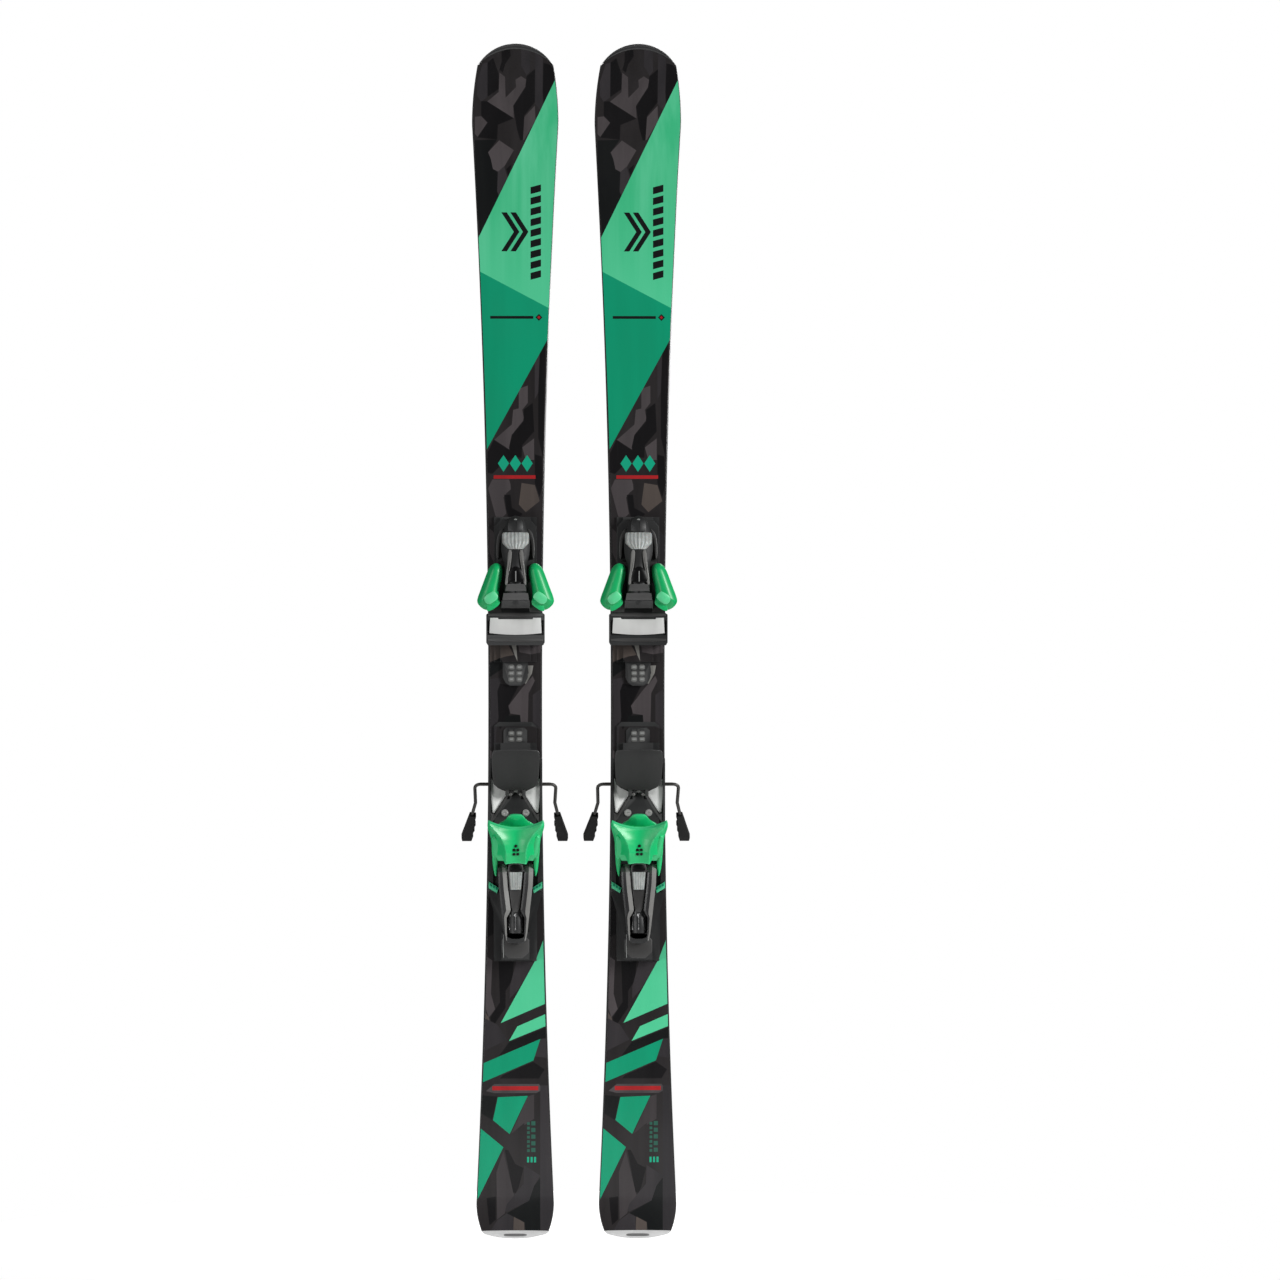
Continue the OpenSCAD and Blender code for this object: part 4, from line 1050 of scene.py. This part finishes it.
def toe_piece(word, side):
    body = word + "_toe"
    black, grey = MATERIALS["body"], MATERIALS["body_grey"]

    def add(obj, slot="binding_black", where=body, *nodes):
        return finish_piece(obj, where, slot, *nodes)

    # housing: a long body that falls from its crest to the nose
    crest = [(905, 60), (911, 70), (921, 75.5), (931, 78.5), (960, 78.5), (984, 65.5), (1014, 53.5),
        (1030, 49.5), (1037, 44)]
    half = [(15.5, 905), (15.5, 944), (15.5, 968), (19, 978), (20.5, 990), (20.5, 1010), (15, 1020),
        (13, 1030), (7, 1036)]
    shell = rounded(both_halves(half), 1)
    add(pillow(word + "_toe_shell", side, shell, 33, lambda x, y,
        t: max(34, table(crest, y) - (1 - t) ** 2.4 * (9 if y > 975 else 11)),
               black, spine=[(0, 912), (0, 1026)], stages=(0.05, 0.12, 0.22, 0.4, 0.7, 0.95)),
               "binding_black", body, word + "_toe_housing")
    # nose cap over the setting screw
    nose = rounded(both_halves([(10.5, 1013), (10.5, 1026), (8, 1034), (3, 1037.5)]), 1)
    add(pillow(word + "_toe_nose", side, nose, 40, lambda x, y,
        t: table([(1013, 54.5), (1026, 52.5), (1037, 46)], y) + 2.5 * (1 - (1 - t) ** 2),
               black, spine=[(0, 1016), (0, 1030)]))
    # A small pale disc on the nose: a painted glint where the setting screw's head catches the light.
    dot = oval(0, 1032, 2.2, 1.3, 16)
    add(pillow(word + "_toe_nose_dot", side, dot, 46, domed(51.6, 0.4), MATERIALS["pale"]))
    for hand in (-1, 1):
        arm = mirrored(hand, [(17, 1020), (24, 1014), (27.5, 1000), (27.5, 978), (24, 974), (22.5, 1000),
            (18, 1012)])
        add(prism(f"{word}_toe_brace_{LETTER[hand]}", side, rounded(arm, 1), 33,
            along([(974, 44), (1020, 39)]), grey, 1.2))
        rib = mirrored(hand, [(5.0, 988), (10.9, 989), (12.2, 966), (14.6, 948), (15.3, 938), (11.6, 938),
            (8.8, 958), (6.0, 974)])
        add(prism(f"{word}_toe_cheek_{LETTER[hand]}", side, rounded(rib, 1), 50,
            along([(936, 79.6), (960, 80.2), (984, 67.2), (989, 64.6)]),
                  MATERIALS["strip"], 1.3))
        skirt = mirrored(hand, [(20, 917.5), (22, 917), (38.5, 904), (38.5, 899), (20, 899)])
        add(prism(f"{word}_toe_skirt_{LETTER[hand]}", side, skirt, 40, 46.4, grey, 0.9))
    # ribbed window over the scale
    window = []
    rear, front = 989.5, 1013.5
    for j in range(13):
        y = rear + (front - rear) * j / 12
        width = table([(989.5, 11.0), (998, 18.8), (1011, 19.2), (1013.5, 17.6)], y)
        row = []
        for i in range(57):
            u = -1 + 2 * i / 56
            rib_z = 0.38 * math.cos(u * 7 * math.pi) * min(1.0,
                (y - rear) / 4) + 0.5 * math.exp(-(u * 14) ** 2)
            bow = 5.0 * (1 - u * u) ** 0.5 if abs(u) < 1 else 0.0
            row.append((u * width, y, table([(989.5, 63.5), (1001, 60.5), (1013.5, 54.5)], y) - 4.0 + bow
                + rib_z * (1 - abs(u) ** 8)))
        window.append(row)
    add(slab(word + "_toe_scale_window", side, window, lambda p: (0, 0, -5), MATERIALS["window"], angle=60),
        "window", body, word + "_toe_window")
    # black button with a thin index line, and the two steps below it
    button = rounded([(-11, 941), (11, 941), (12.5, 949), (8.5, 960), (0, 966), (-8.5, 960), (-12.5, 949)],
        1)
    add(pillow(word + "_toe_button", side, button, 74, domed(79.5, 2.4, 2.5), MATERIALS["deep"],
        spine=[(0, 948), (0, 956)]))
    add(prism(word + "_toe_index", side, bar(-0.7, 0.7, 943, 958), 80, 82.3, MATERIALS["pale"], 0.2))
    add(prism(word + "_toe_step_a", side, both_halves([(15, 929.5), (13, 939.5)]), 60,
        along([(929, 77.5), (940, 81)]), grey, 1.0))
    add(prism(word + "_toe_apron", side, both_halves([(20.6, 905), (20.0, 916.3)]), 46.6,
        along([(905, 61.5), (911, 70.6), (917, 72.4)]),
              black, 1.0))
    add(prism(word + "_toe_step_b", side, both_halves([(19, 916.5), (17.5, 926.5)]), 50,
        along([(916, 73), (927, 76.5)]), grey, 1.0))
    # wings
    wing = [(18.9, 951.7), (18.6, 962), (21.5, 967.8), (29, 969.8), (35, 966.5), (39.3, 960), (43.5, 949),
        (49, 934), (54.6, 919.5),
            (55, 913), (50, 906.5), (43.5, 902.6), (39.5, 902.8), (31, 908.6), (23.5, 914.5), (23.2, 920),
            (24.4, 926), (23.2, 935)]
    ridge = [(28, 958), (33.5, 938), (38.5, 921)]

    def wing_top(x, y, t):
        body_z = table([(902, 72.5), (915, 76.2), (930, 75.5), (950, 74.2), (970, 72.0)], y)
        z = body_z - 9.5 * (1 - t) ** 2.6
        facet = 76.8 - 0.30 * (33 - abs(x)) * (1 if abs(x) < 33 else 0) - 0.62 * max(0.0, 921 - y)
        return min(z, facet)
    for hand in (-1, 1):
        letter = LETTER[hand]
        outline = rounded(mirrored(hand, wing), 2)
        add(pillow(f"{word}_wing_{letter}", side, outline, 47, wing_top, MATERIALS["green"],
            spine=mirrored(hand, ridge),
                   stages=(0.05, 0.12, 0.22, 0.36, 0.52, 0.7, 0.88, 0.97), angle=24), "binding_green",
                   f"{word}_wing_{letter}", f"{word}_toe_wing_{letter}")
        pin = oval(hand * 26, 956, 3, 3, 32)
        add(prism(f"{word}_wing_pin_{letter}", side, pin, 29.5, 69.5, MATERIALS["screw"], 0.4),
            "screw_steel", body, *([word + "_toe_wing_pins"] if hand < 0 else []))
        # The wing's lower end: a pale green patch, painted on as the highlight of its lit facet.
        end = rounded(mirrored(hand, [(44.5, 921.5), (36.5, 927.5), (31, 929.5), (24.2, 922), (27.5, 916.5),
            (38.5, 909.5), (45, 915)]), 1)
        add(pillow(f"{word}_wing_end_{letter}", side, end, 66, lambda x, y,
            t: 78.3 - 0.10 * abs(abs(x) - 34) - 0.26 * max(0.0, 921 - y) - 1.0 * (1 - t) ** 3,
                   MATERIALS["painted_highlight_green"], spine=[(hand * 34, 924), (hand * 36, 917)], angle=30),
                   "binding_green", f"{word}_wing_{letter}")
        claw = rounded(mirrored(hand, [(22, 915), (24, 909), (36, 901), (42, 901), (40, 912), (26, 920)]),
            1)
        add(prism(f"{word}_wing_claw_{letter}", side, claw, 66.5, 69, MATERIALS["green"], 0.6),
            "binding_green", f"{word}_wing_{letter}")
    # anti-friction pad with its dark notch
    pad = [(-37.4, 869.4), (-24, 868.0), (-12, 867.2), (0, 866.9), (12, 867.2), (24, 868.0), (37.4, 869.4),
        (36.3, 891.4), (25.2, 891.4),
           (24.4, 889.4), (-24.4, 889.4), (-25.2, 891.4), (-36.3, 891.4)]
    add(prism(word + "_slider_pad", side, pad, 48.9, lambda x, y: 50.3 - 0.0006 * x * x, MATERIALS["pad"],
        0.45), "slider", word + "_slider", word + "_afd_pad")
    add(prism(word + "_slider_block", side, both_halves([(30, 868.5), (30, 886.5)]), 46, 49.2,
        MATERIALS["pad"], 0.3), "slider", word + "_slider")
    add(prism(word + "_stage_lip", side, rounded(both_halves([(40.4, 893.0), (38.5, 898.2)]), 1), 44, 49.8,
        grey, 0.8))
    add(prism(word + "_stage_front", side, rounded(both_halves([(39.8, 857), (40.2, 862.5)]), 1), 44, 49.6,
        grey, 0.8))


# ---------------------------------------------------------------- heel piece
CUP_Y, CUP_Z, CUP_TIP = 560.0, 48.0, math.radians(35)
BARREL_Z = 50
LEVER_END, LEVER_TOP, LEVER_STEPS = 430, 539, 20
SEAT_Y, SEAT_LEN = 503, 25                # the scale window on the barrel
PEDAL_Y, PEDAL_Z, PEDAL_TIP = 643.0, 41.0, math.radians(25)


def tipped(pivot_y, pivot_z, angle):
    """Turns a point of the closed piece to where it stands open."""
    c, s = math.cos(angle), math.sin(angle)
    return lambda y, z: (pivot_y + (y - pivot_y) * c - (z - pivot_z) * s,
        pivot_z + (y - pivot_y) * s + (z - pivot_z) * c)


def cup_shell(word, side):
    """The open heel cup's roof: two ears, a spine and two ridges that run from the ears down beside it."""
    ridge = [(536, 13.5), (557, 14.0), (568, 16.5), (578, 21.5), (586, 28.0), (593, 35.0), (600, 38.5)]
    spine = [(536, 88.0), (556, 101.0), (575, 106.5), (590, 108.8), (600, 110.2)]
    width = [(536, 26.0), (551, 31.6), (560, 33.5), (577, 35.6), (589, 39.4), (595, 40.6), (600, 39.0)]
    rows, cols = 34, 61
    grid = []
    for j in range(rows):
        v = j / (rows - 1)
        row = []
        for i in range(cols):
            u = -1 + 2 * i / (cols - 1)
            far = abs(u)
            top_y = 589.5 + 10.2 * far ** 1.8
            end_y = 540.0 if far < 0.56 else 540.0 + 12.5 * min(1.0, (far - 0.56) / 0.06)
            end_y = end_y + 1.5 * (1 - min(1, far / 0.5) ** 2)
            y = end_y + (top_y - end_y) * v
            x = u * table(width, y)
            edge_x = table(ridge, y)
            z = table(spine, y)
            if abs(x) < edge_x:
                z -= table([(540, 1.6), (556, 4.4), (572, 7.2), (586, 9.6), (600, 8.5)],
                    y) * (1 - abs(x / edge_x) ** 1.7)
            else:
                z -= 1.5 * (abs(x) - edge_x) - 1.2 * (1 - math.exp(-(abs(x) - edge_x) / 1.1))
            z -= 2.2 * max(0.0, far - 0.93) / 0.07 + 1.2 * max(0.0, v - 0.93) / 0.07
            row.append((x, y, z))
        grid.append(row)
    return slab(word + "_cup_shell", side, grid, lambda p: (0, 3.6, -5.4), MATERIALS["cup_green_painted_light"], angle=30)


def heel_piece(word, side):
    heel, cup, lever, screw = word + "_heel", word + "_cup", word + "_lever", word + "_heel_screw"
    # green here is the cup's green, painted lighter than the wings' for the light on the cup.
    black, grey, green = MATERIALS["body"], MATERIALS["body_grey"], MATERIALS["cup_green_painted_light"]

    def add(obj, where, slot, *nodes):
        return finish_piece(obj, where, slot, *nodes)
    back = tipped(CUP_Y, CUP_Z, CUP_TIP)

    # cup: roof, curved back wall, treadle and side arms
    add(cup_shell(word, side), cup, "binding_green", word + "_heel_cup")
    wall = [(-25, 563), (25, 563), (31, 576), (34, 604), (30, 606), (27.5, 601), (18, 597.5), (0, 596),
        (-18, 597.5), (-27.5, 601), (-30, 606),
            (-34, 604), (-31, 576)]
    add(prism(word + "_cup_wall", side, wall, 61.6, 79.5, green, 0.5, back), cup, "binding_green")
    bridge = [(566, 39.5), (600, 46.5), (606, 56), (597, 62.2), (563, 62.2), (556.5, 56), (556.5, 53),
        (556.5, 42)]
    rings = [[spot(side, x, *back(y + dy, z + dz)) for y, z in bridge] for x, dy,
        dz in ((-24.8, 0, 0), (24.8, 0, 0))]
    add(loft(word + "_cup_bridge", rings, green, angle=30), cup, "binding_green")
    lip = rounded(both_halves([(27.5, 590), (28.0, 600), (24.0, 607.0), (15.0, 612.6), (10.5, 620.5),
        (6.5, 623.0)]), 1)
    add(pillow(word + "_cup_treadle", side, lip, 47.5, lambda x, y,
        t: 51.2 + 3.2 * (1 - (1 - t) ** 2) + 0.004 * max(0, 612 - y) ** 2,
               green, spine=[(0, 600), (0, 616)], turn=back), cup, "binding_green")
    for hand in (-1, 1):
        letter = LETTER[hand]
        arm = mirrored(hand, [(26, 556), (33.2, 556), (33.4, 546), (31.5, 530), (29, 521.5), (27, 523),
            (26, 540)])
        add(pillow(f"{word}_cup_arm_{letter}", side, rounded(arm, 1), 57.5, lambda x, y,
            t: table([(521, 59), (535, 66), (556, 77)], y) + 2.0 * (1 - (1 - t) ** 2),
                   green, spine=[(hand * 29, 530), (hand * 30, 550)]), cup, "binding_green")
        cheek = mirrored(hand, [(26.2, 548), (33.4, 548), (34.5, 566), (33.5, 580), (29, 592), (26.2, 592)])
        add(prism(f"{word}_cup_cheek_{letter}", side, rounded(cheek, 1), 62.2,
            along([(548, 76), (560, 82), (592, 92)]), green, 1.0), cup, "binding_green")
    for k, (x0, y0) in enumerate(((-4.6, 552.5), (0.8, 552.5), (-4.6, 558.5), (0.8, 558.5), (-1.9, 564.2))):
        mark = rounded(bar(x0, x0 + 3.8, y0, y0 + 4.0))
        add(prism(f"{word}_cup_mark_{k}", side, mark, 90, lambda x,
            y: table([(536, 88.0), (556, 98.2), (575, 99.6)], y) + 0.2,
                  MATERIALS["deep"], 0.2), cup, "binding_green")

    # lever: two arms with a crest, their inner faces leaning in over the barrel, and the handle's end
    for hand in (-1, 1):
        rings = []
        for k in range(LEVER_STEPS + 1):
            y = LEVER_END + (LEVER_TOP - LEVER_END) * k / LEVER_STEPS
            outer = table([(430, 14.4), (440, 16.6), (510, 24.4), (540, 25.6)], y)
            inner = table([(430, 12.0), (440, 13.25), (540, 13.25)], y)
            over = table([(430, 11.6), (441, 12.6), (466, 12.9), (470, 6.6), (503, 10.6), (534, 12.9),
                (540, 13.0)], y)
            top = table([(430, 61.0), (470, 67.6), (528, 71.0), (536, 66.0), (540, 59)], y)
            low = table([(430, 52.0), (440, 50.2), (520, 48.5), (536, 50.0), (540, 54)], y)
            crest = (over + outer) / 2
            lit, dim = min(6.4, 0.58 * (outer - over)), min(2.6, 0.25 * (outer - over))
            out, into = (lit, dim) if hand > 0 else (dim, lit)
            section = [(inner, low), (outer, low), (outer, top - 0.55 * out), (outer - out, top),
                (over + into, top),
                       (over, top - 0.55 * into),
                       (max(over, inner - 0.05), max(low + 2, top - 0.55 * into - 1.5))]
            rings.append([spot(side, hand * x, y, z) for x, z in section])
        letter = LETTER[hand]
        arm = loft(f"{word}_lever_arm_{letter}", rings, MATERIALS["gloss"], angle=15)
        # Faces turned up and to the right take the pale grey: a painted highlight, as from the lamp on the
        # right.
        arm.data.materials.append(MATERIALS["strip"])
        for face in arm.data.polygons:
            if face.normal.y < -0.5 and face.normal.x > 0.2:
                face.material_index = 1
        add(arm, lever, "binding_black")
    handle = rounded([(-15, 440), (-13, 428), (-8, 425.8), (8, 425.8), (13, 428), (15, 440), (12, 440),
        (9, 434), (-9, 434), (-12, 440)], 1)
    add(prism(word + "_lever_handle", side, handle, 52, 61.2, black, 1.6), lever, "binding_black",
        word + "_heel_lever")
    add(turned(word + "_heel_barrel", side, BARREL_Z,
        [(440, 10.5), (440.6, 12.1), (446, 12.6), (449, 12.9), (463, 12.9), (466, 12.2), (470, 12.5),
                                                  (542.5, 12.5), (544, 11.5)], black), heel,
                                                  "binding_black", word + "_heel_housing")
    add(turned(word + "_heel_collar", side, BARREL_Z,
        [(444, 12.4), (445.5, 13.0), (468, 13.0), (471.5, 11.6)], MATERIALS["gloss"], count=8, angle=20),
        heel, "binding_black")
    spine = rounded([(-5.2, 470), (5.2, 470), (8.8, 500), (10.4, 520), (11.4, 536), (8, 541), (-8, 541),
        (-11.4, 536), (-10.4, 520), (-8.8, 500)], 1)
    add(prism(word + "_heel_spine", side, spine, 50, along([(470, 62.5), (500, 66.3), (541, 69.5)]), grey,
        1.2), heel, "binding_black")
    glass = []
    across = [-1 + 2 * i / 40 for i in range(41)]
    for j in range(9):
        y = SEAT_Y + SEAT_LEN * j / 8
        half_width = table([(503, 7.2), (509, 8.0), (528, 9.4)], y)
        rise = 68.4 + (y - SEAT_Y) * 0.075
        glass.append([
            (half_width * u, y, rise + 0.35 * math.cos(u * 5 * math.pi) + 0.9 * (1 - u ** 4))
            for u in across
        ])
    add(slab(word + "_heel_scale_window", side, glass, lambda p: (0, 0, -4), MATERIALS["window"], angle=60),
        heel, "window", word + "_heel_window")
    cap = rounded([(-8.5, 529), (8.5, 529), (9.5, 534), (6, 539), (-6, 539), (-9.5, 534)], 1)
    add(pillow(word + "_heel_cap", side, cap, 62, domed(70.2, 1.6), MATERIALS["deep"]), heel,
        "binding_black")

    # green flashes on the carriage's shoulders, and a thin pale line near the spring box's left edge
    for hand in (-1, 1):
        letter = LETTER[hand]
        flash = mirrored(hand, [(38.4, 514), (24, 504.5), (26.5, 497), (38.4, 504.5)])
        add(prism(f"{word}_flash_{letter}", side, flash, 34, along([(497, 40.4), (514, 42.0)]),
            MATERIALS["lgreen"], 0.5), heel, "binding_green")
        for k in range(3):
            x0 = 26.6 + 4.0 * k
            tick = mirrored(hand,
                [(x0, 501.6 + 2.4 * k), (x0 + 2.2, 502.9 + 2.4 * k), (x0 + 1.6, 506.0 + 2.4 * k),
                (x0 - 0.6, 504.7 + 2.4 * k)])
            add(prism(f"{word}_flash_tick_{letter}{k}", side, tick, 38, 42.3, MATERIALS["teal"], 0.2), heel,
                "binding_green")
    add(prism(word + "_box_lid", side, rounded(both_halves([(19.6, 404), (19.6, 439)]), 1), 40,
        along([(404, 45.4), (439, 46.4)]), grey, 1.0), heel, "binding_black")
    add(prism(word + "_box_pale_line", side, bar(-17.6, -16.6, 405, 438), 44, 46.9, MATERIALS["pale"], 0.2),
        heel, "binding_black")

    # brake pedal: ridged plate on two lugs, with the tracks of the cranks under it
    flat = tipped(PEDAL_Y, PEDAL_Z, PEDAL_TIP)
    pedal = word + "_pedal"
    outline = rounded(both_halves([(14.5, 648.5), (20, 649.4), (30, 655.0), (32.6, 664), (34.2, 690),
        (34.0, 706), (31, 712.0)]), 1)
    add(pillow(word + "_pedal_plate", side, outline, 45.5, lambda x, y, t: 48.2 + 1.7 * (1 - (1 - t) ** 3),
        MATERIALS["pedal"],
               spine=[(0, 668), (0, 694)], stages=(0.04, 0.09, 0.16, 0.4, 0.8), turn=flat), pedal,
               "brake_plastic", word + "_brake_pedal")
    for hand in (-1, 1):
        letter = LETTER[hand]
        lug = mirrored(hand, [(9.5, 638.5), (14.5, 638.5), (14.5, 660), (9.5, 660)])
        add(prism(f"{word}_pedal_lug_{letter}", side, lug, 38.2, 47.5, MATERIALS["pedal"], 0.8, flat),
            pedal, "brake_plastic")
        track = [(663, 47), (664, 46.5), (671.4, 43.8), (676.5, 41.4), (681, 39.5), (686, 47)]
        rings = [[spot(side, hand * x, *flat(y, z)) for y, z in track] for x in (9.6, 14.4)]
        add(loft(f"{word}_pedal_track_{letter}", rings, MATERIALS["pedal"], angle=30), pedal,
            "brake_plastic")
    # silver brake plate seen beside the bracket, and the bracket's rim
    for hand in (-1, 1):
        letter = LETTER[hand]
        plate = mirrored(hand, [(34.9, 661), (35.2, 640), (33.2, 613), (30.2, 611.5), (13.4, 637.5),
            (14.2, 642.5), (26, 648.0), (31, 652.5), (33.6, 661)])
        obj = prism(f"{word}_plate_{letter}", side, plate, 34.0, 35.25, MATERIALS["plate"], 0.3)
        add(obj, heel, "plate_silver", *([word + "_brake_plate"] if hand < 0 else []))
        rim = mirrored(hand, [(33.5, 598), (36.5, 598), (36.5, 612), (29.5, 610), (12.8, 637), (9.6, 637),
            (27, 607)])
        # The bracket's pins are domes in a light grey: a painted highlight.
        pin = oval(hand * 7, 638.5, 2.4, 2.4, 16)
        add(pillow(f"{word}_bracket_pin_{letter}", side, pin, 38, domed(45.2, 0.6), MATERIALS["edge_lit"]),
            heel, "binding_black")
        add(prism(f"{word}_bracket_rim_{letter}", side, rim, 34, 38.6, grey, 0.6), heel, "binding_black")
        add(pillow(f"{word}_bracket_washer_{letter}", side, oval(hand * 15, 612, 5, 5, 24),
                   37, domed(38.6, 0.5), MATERIALS["screw"]), heel, "screw_steel")


# ---------------------------------------------------------------- rails


# The tops of the rails (name, ends, half width, height) and the cells of the boot length scales.
RAIL_TOPS = (
    ("toe", 828.4, 852.6, 30.2, 22.62), ("toe_head", 828.3, 852.8, 21.3, 27.12),
    ("heel", 712.3, 735.6, 30.2, 22.62),
)
CELL_ROWS = (("toe", 799.5, 3), ("heel", 713.4, 2))
CELL_X, CELL_HALF, CELL_PITCH, CELL_LEN = 5.7, 4.2, 8.7, 7.3


def rail_dress(word, side):
    """The print carried over the rails' tops, and the pale cells of the boot length scales."""
    body = word + "_ski"
    for tag, y0, y1, half, z in RAIL_TOPS:
        verts, faces, kinds = [], [], []
        box = bar(-half, half, y0, y1)
        for poly, kind in PRINT_CELLS:
            for a, b in zip(box, box[1:] + box[:1]):
                poly = half_plane(poly, a, b, True) if poly else poly
            if len(poly) > 2:
                faces.append(list(range(len(verts), len(verts) + len(poly))))
                verts += poly
                kinds.append(PRINT_KINDS.index(kind))
        obj = new_mesh(f"{word}_{tag}_rail_print", [spot(side, x, y, z) for x, y in verts], faces,
            [MATERIALS[k] for k in PRINT_KINDS], kinds, False)
        if obj.data.polygons[0].normal.y > 0:
            obj.data.flip_normals()
        finish_piece(obj, body, "binding_black")
    for tag, y0, count in CELL_ROWS:
        for row in range(count):
            for hand in (-1, 1):
                x0, low, high = hand * CELL_X, y0 + CELL_PITCH * row, y0 + CELL_PITCH * row + CELL_LEN
                place = f"{row}{LETTER[hand]}"
                cell = rounded(bar(x0 - CELL_HALF, x0 + CELL_HALF, low, high))
                dome = pillow(f"{word}_{tag}_cell_{place}", side, cell, 23, domed(24.4, 0.7),
                    MATERIALS["cell"])
                finish_piece(dome, body, "binding_black")
                mark = bar(x0 - 2.6, x0 + 2.6, low + 2.2, high - 2.2)
                tick = prism(f"{word}_{tag}_tick_{place}", side, mark, 24, 25.35, MATERIALS["pale"], 0.2)
                finish_piece(tick, body, "binding_black")


# ---------------------------------------------------------------- studio
FLOOR_SEEN, FLOOR_GLOW, ROOM_GLOW = 0.80, 0.30, 0.09
LAMPS = [
    ("key", (3.5, -2.3, 2.0), 1.0, 1.8, 190),
    ("fill", (-3.3, -2.6, 2.4), 1.4, 1.8, 32),
    ("low", (-2.4, -2.6, 0.2), 1.0, 0.8, 30),
    ("back", (0.8, 3.2, 2.2), 2.0, 2.0, 60),
]
SEEN_WIDTH, CAMERA_X, CAMERA_Z = 1.8363, 0.0908, SKI_LEN * MM / 2 + 0.0036
VIEW_TURN = math.radians(1.6)
LENS_MM, SENSOR_MM, FAR_CLIP = 200, 36, 60
FLOOR_RADIUS, FLOOR_CORNERS = 0.9, 96


def studio():
    floor_look = Look("studio_floor")
    dust = floor_look.noise(6.0, 3.0, 0.6)
    tone = floor_look.mix(floor_look.remap(dust, 0.3, 0.7), (0.86, 0.86, 0.86), (0.90, 0.90, 0.90))
    grain = floor_look.bump(floor_look.noise(300.0), 0.05, 0.0003)
    floor_look.set(color=tone, rough=0.8, normal=grain, specular=0.2)
    floor_look.bsdf.inputs["Emission Color"].default_value = (1.0, 1.0, 1.0, 1.0)
    nodes, links = floor_look.mat.node_tree.nodes, floor_look.mat.node_tree.links
    glow = nodes.new("ShaderNodeMapRange")
    glow.inputs["To Min"].default_value = FLOOR_GLOW
    glow.inputs["To Max"].default_value = FLOOR_SEEN
    links.new(nodes.new("ShaderNodeLightPath").outputs["Is Camera Ray"], glow.inputs["Value"])
    links.new(glow.outputs["Result"], floor_look.bsdf.inputs["Emission Strength"])
    count, radius = FLOOR_CORNERS, FLOOR_RADIUS
    turns = [2 * math.pi * k / count for k in range(count)]
    ring = [(radius * math.cos(a), radius * math.sin(a), 0) for a in turns]
    new_mesh("studio_floor", ring, [tuple(range(count))], [floor_look.mat])

    world = bpy.data.worlds.new("studio")
    bpy.context.scene.world = world
    world.use_nodes = True
    tree = world.node_tree
    sky = tree.nodes["Background"]
    seen = tree.nodes.new("ShaderNodeLightPath").outputs["Is Camera Ray"]
    bright = tree.nodes.new("ShaderNodeMapRange")
    bright.inputs["To Min"].default_value = ROOM_GLOW
    bright.inputs["To Max"].default_value = 1.0
    tree.links.new(seen, bright.inputs["Value"])
    tree.links.new(bright.outputs["Result"], sky.inputs["Strength"])
    sky.inputs["Color"].default_value = (1.0, 1.0, 1.0, 1.0)

    def lamp(name, place, target, size_x, size_y, power):
        data = bpy.data.lights.new(name, "AREA")
        data.shape = "RECTANGLE"
        data.size, data.size_y, data.energy = size_x, size_y, power
        obj = bpy.data.objects.new(name, data)
        bpy.context.scene.collection.objects.link(obj)
        obj.location = place
        obj.rotation_euler = (Vector(target) - Vector(place)).to_track_quat("-Z", "Y").to_euler()

    middle = (0, 0, SKI_LEN * MM / 2)
    for name, place, wide, tall, power in LAMPS:
        lamp(name, place, middle, wide, tall, power)

    scene = bpy.context.scene
    scene.view_settings.view_transform = "Standard"
    scene.view_settings.look = "None"
    camera = bpy.data.objects.new("camera", bpy.data.cameras.new("camera"))
    scene.collection.objects.link(camera)
    camera.data.lens, camera.data.sensor_width = LENS_MM, SENSOR_MM
    camera.data.clip_end = FAR_CLIP
    distance = SEEN_WIDTH * camera.data.lens / camera.data.sensor_width
    camera.location = (CAMERA_X - distance * math.sin(VIEW_TURN), -distance * math.cos(VIEW_TURN), CAMERA_Z)
    camera.rotation_euler = (math.pi / 2, 0, -VIEW_TURN)
    scene.camera = camera


for word, side in SIDES.items():
    ski_shell(word, side)
    rail_dress(word, side)
    toe_piece(word, side)
    heel_piece(word, side)
dress_cad()
studio()
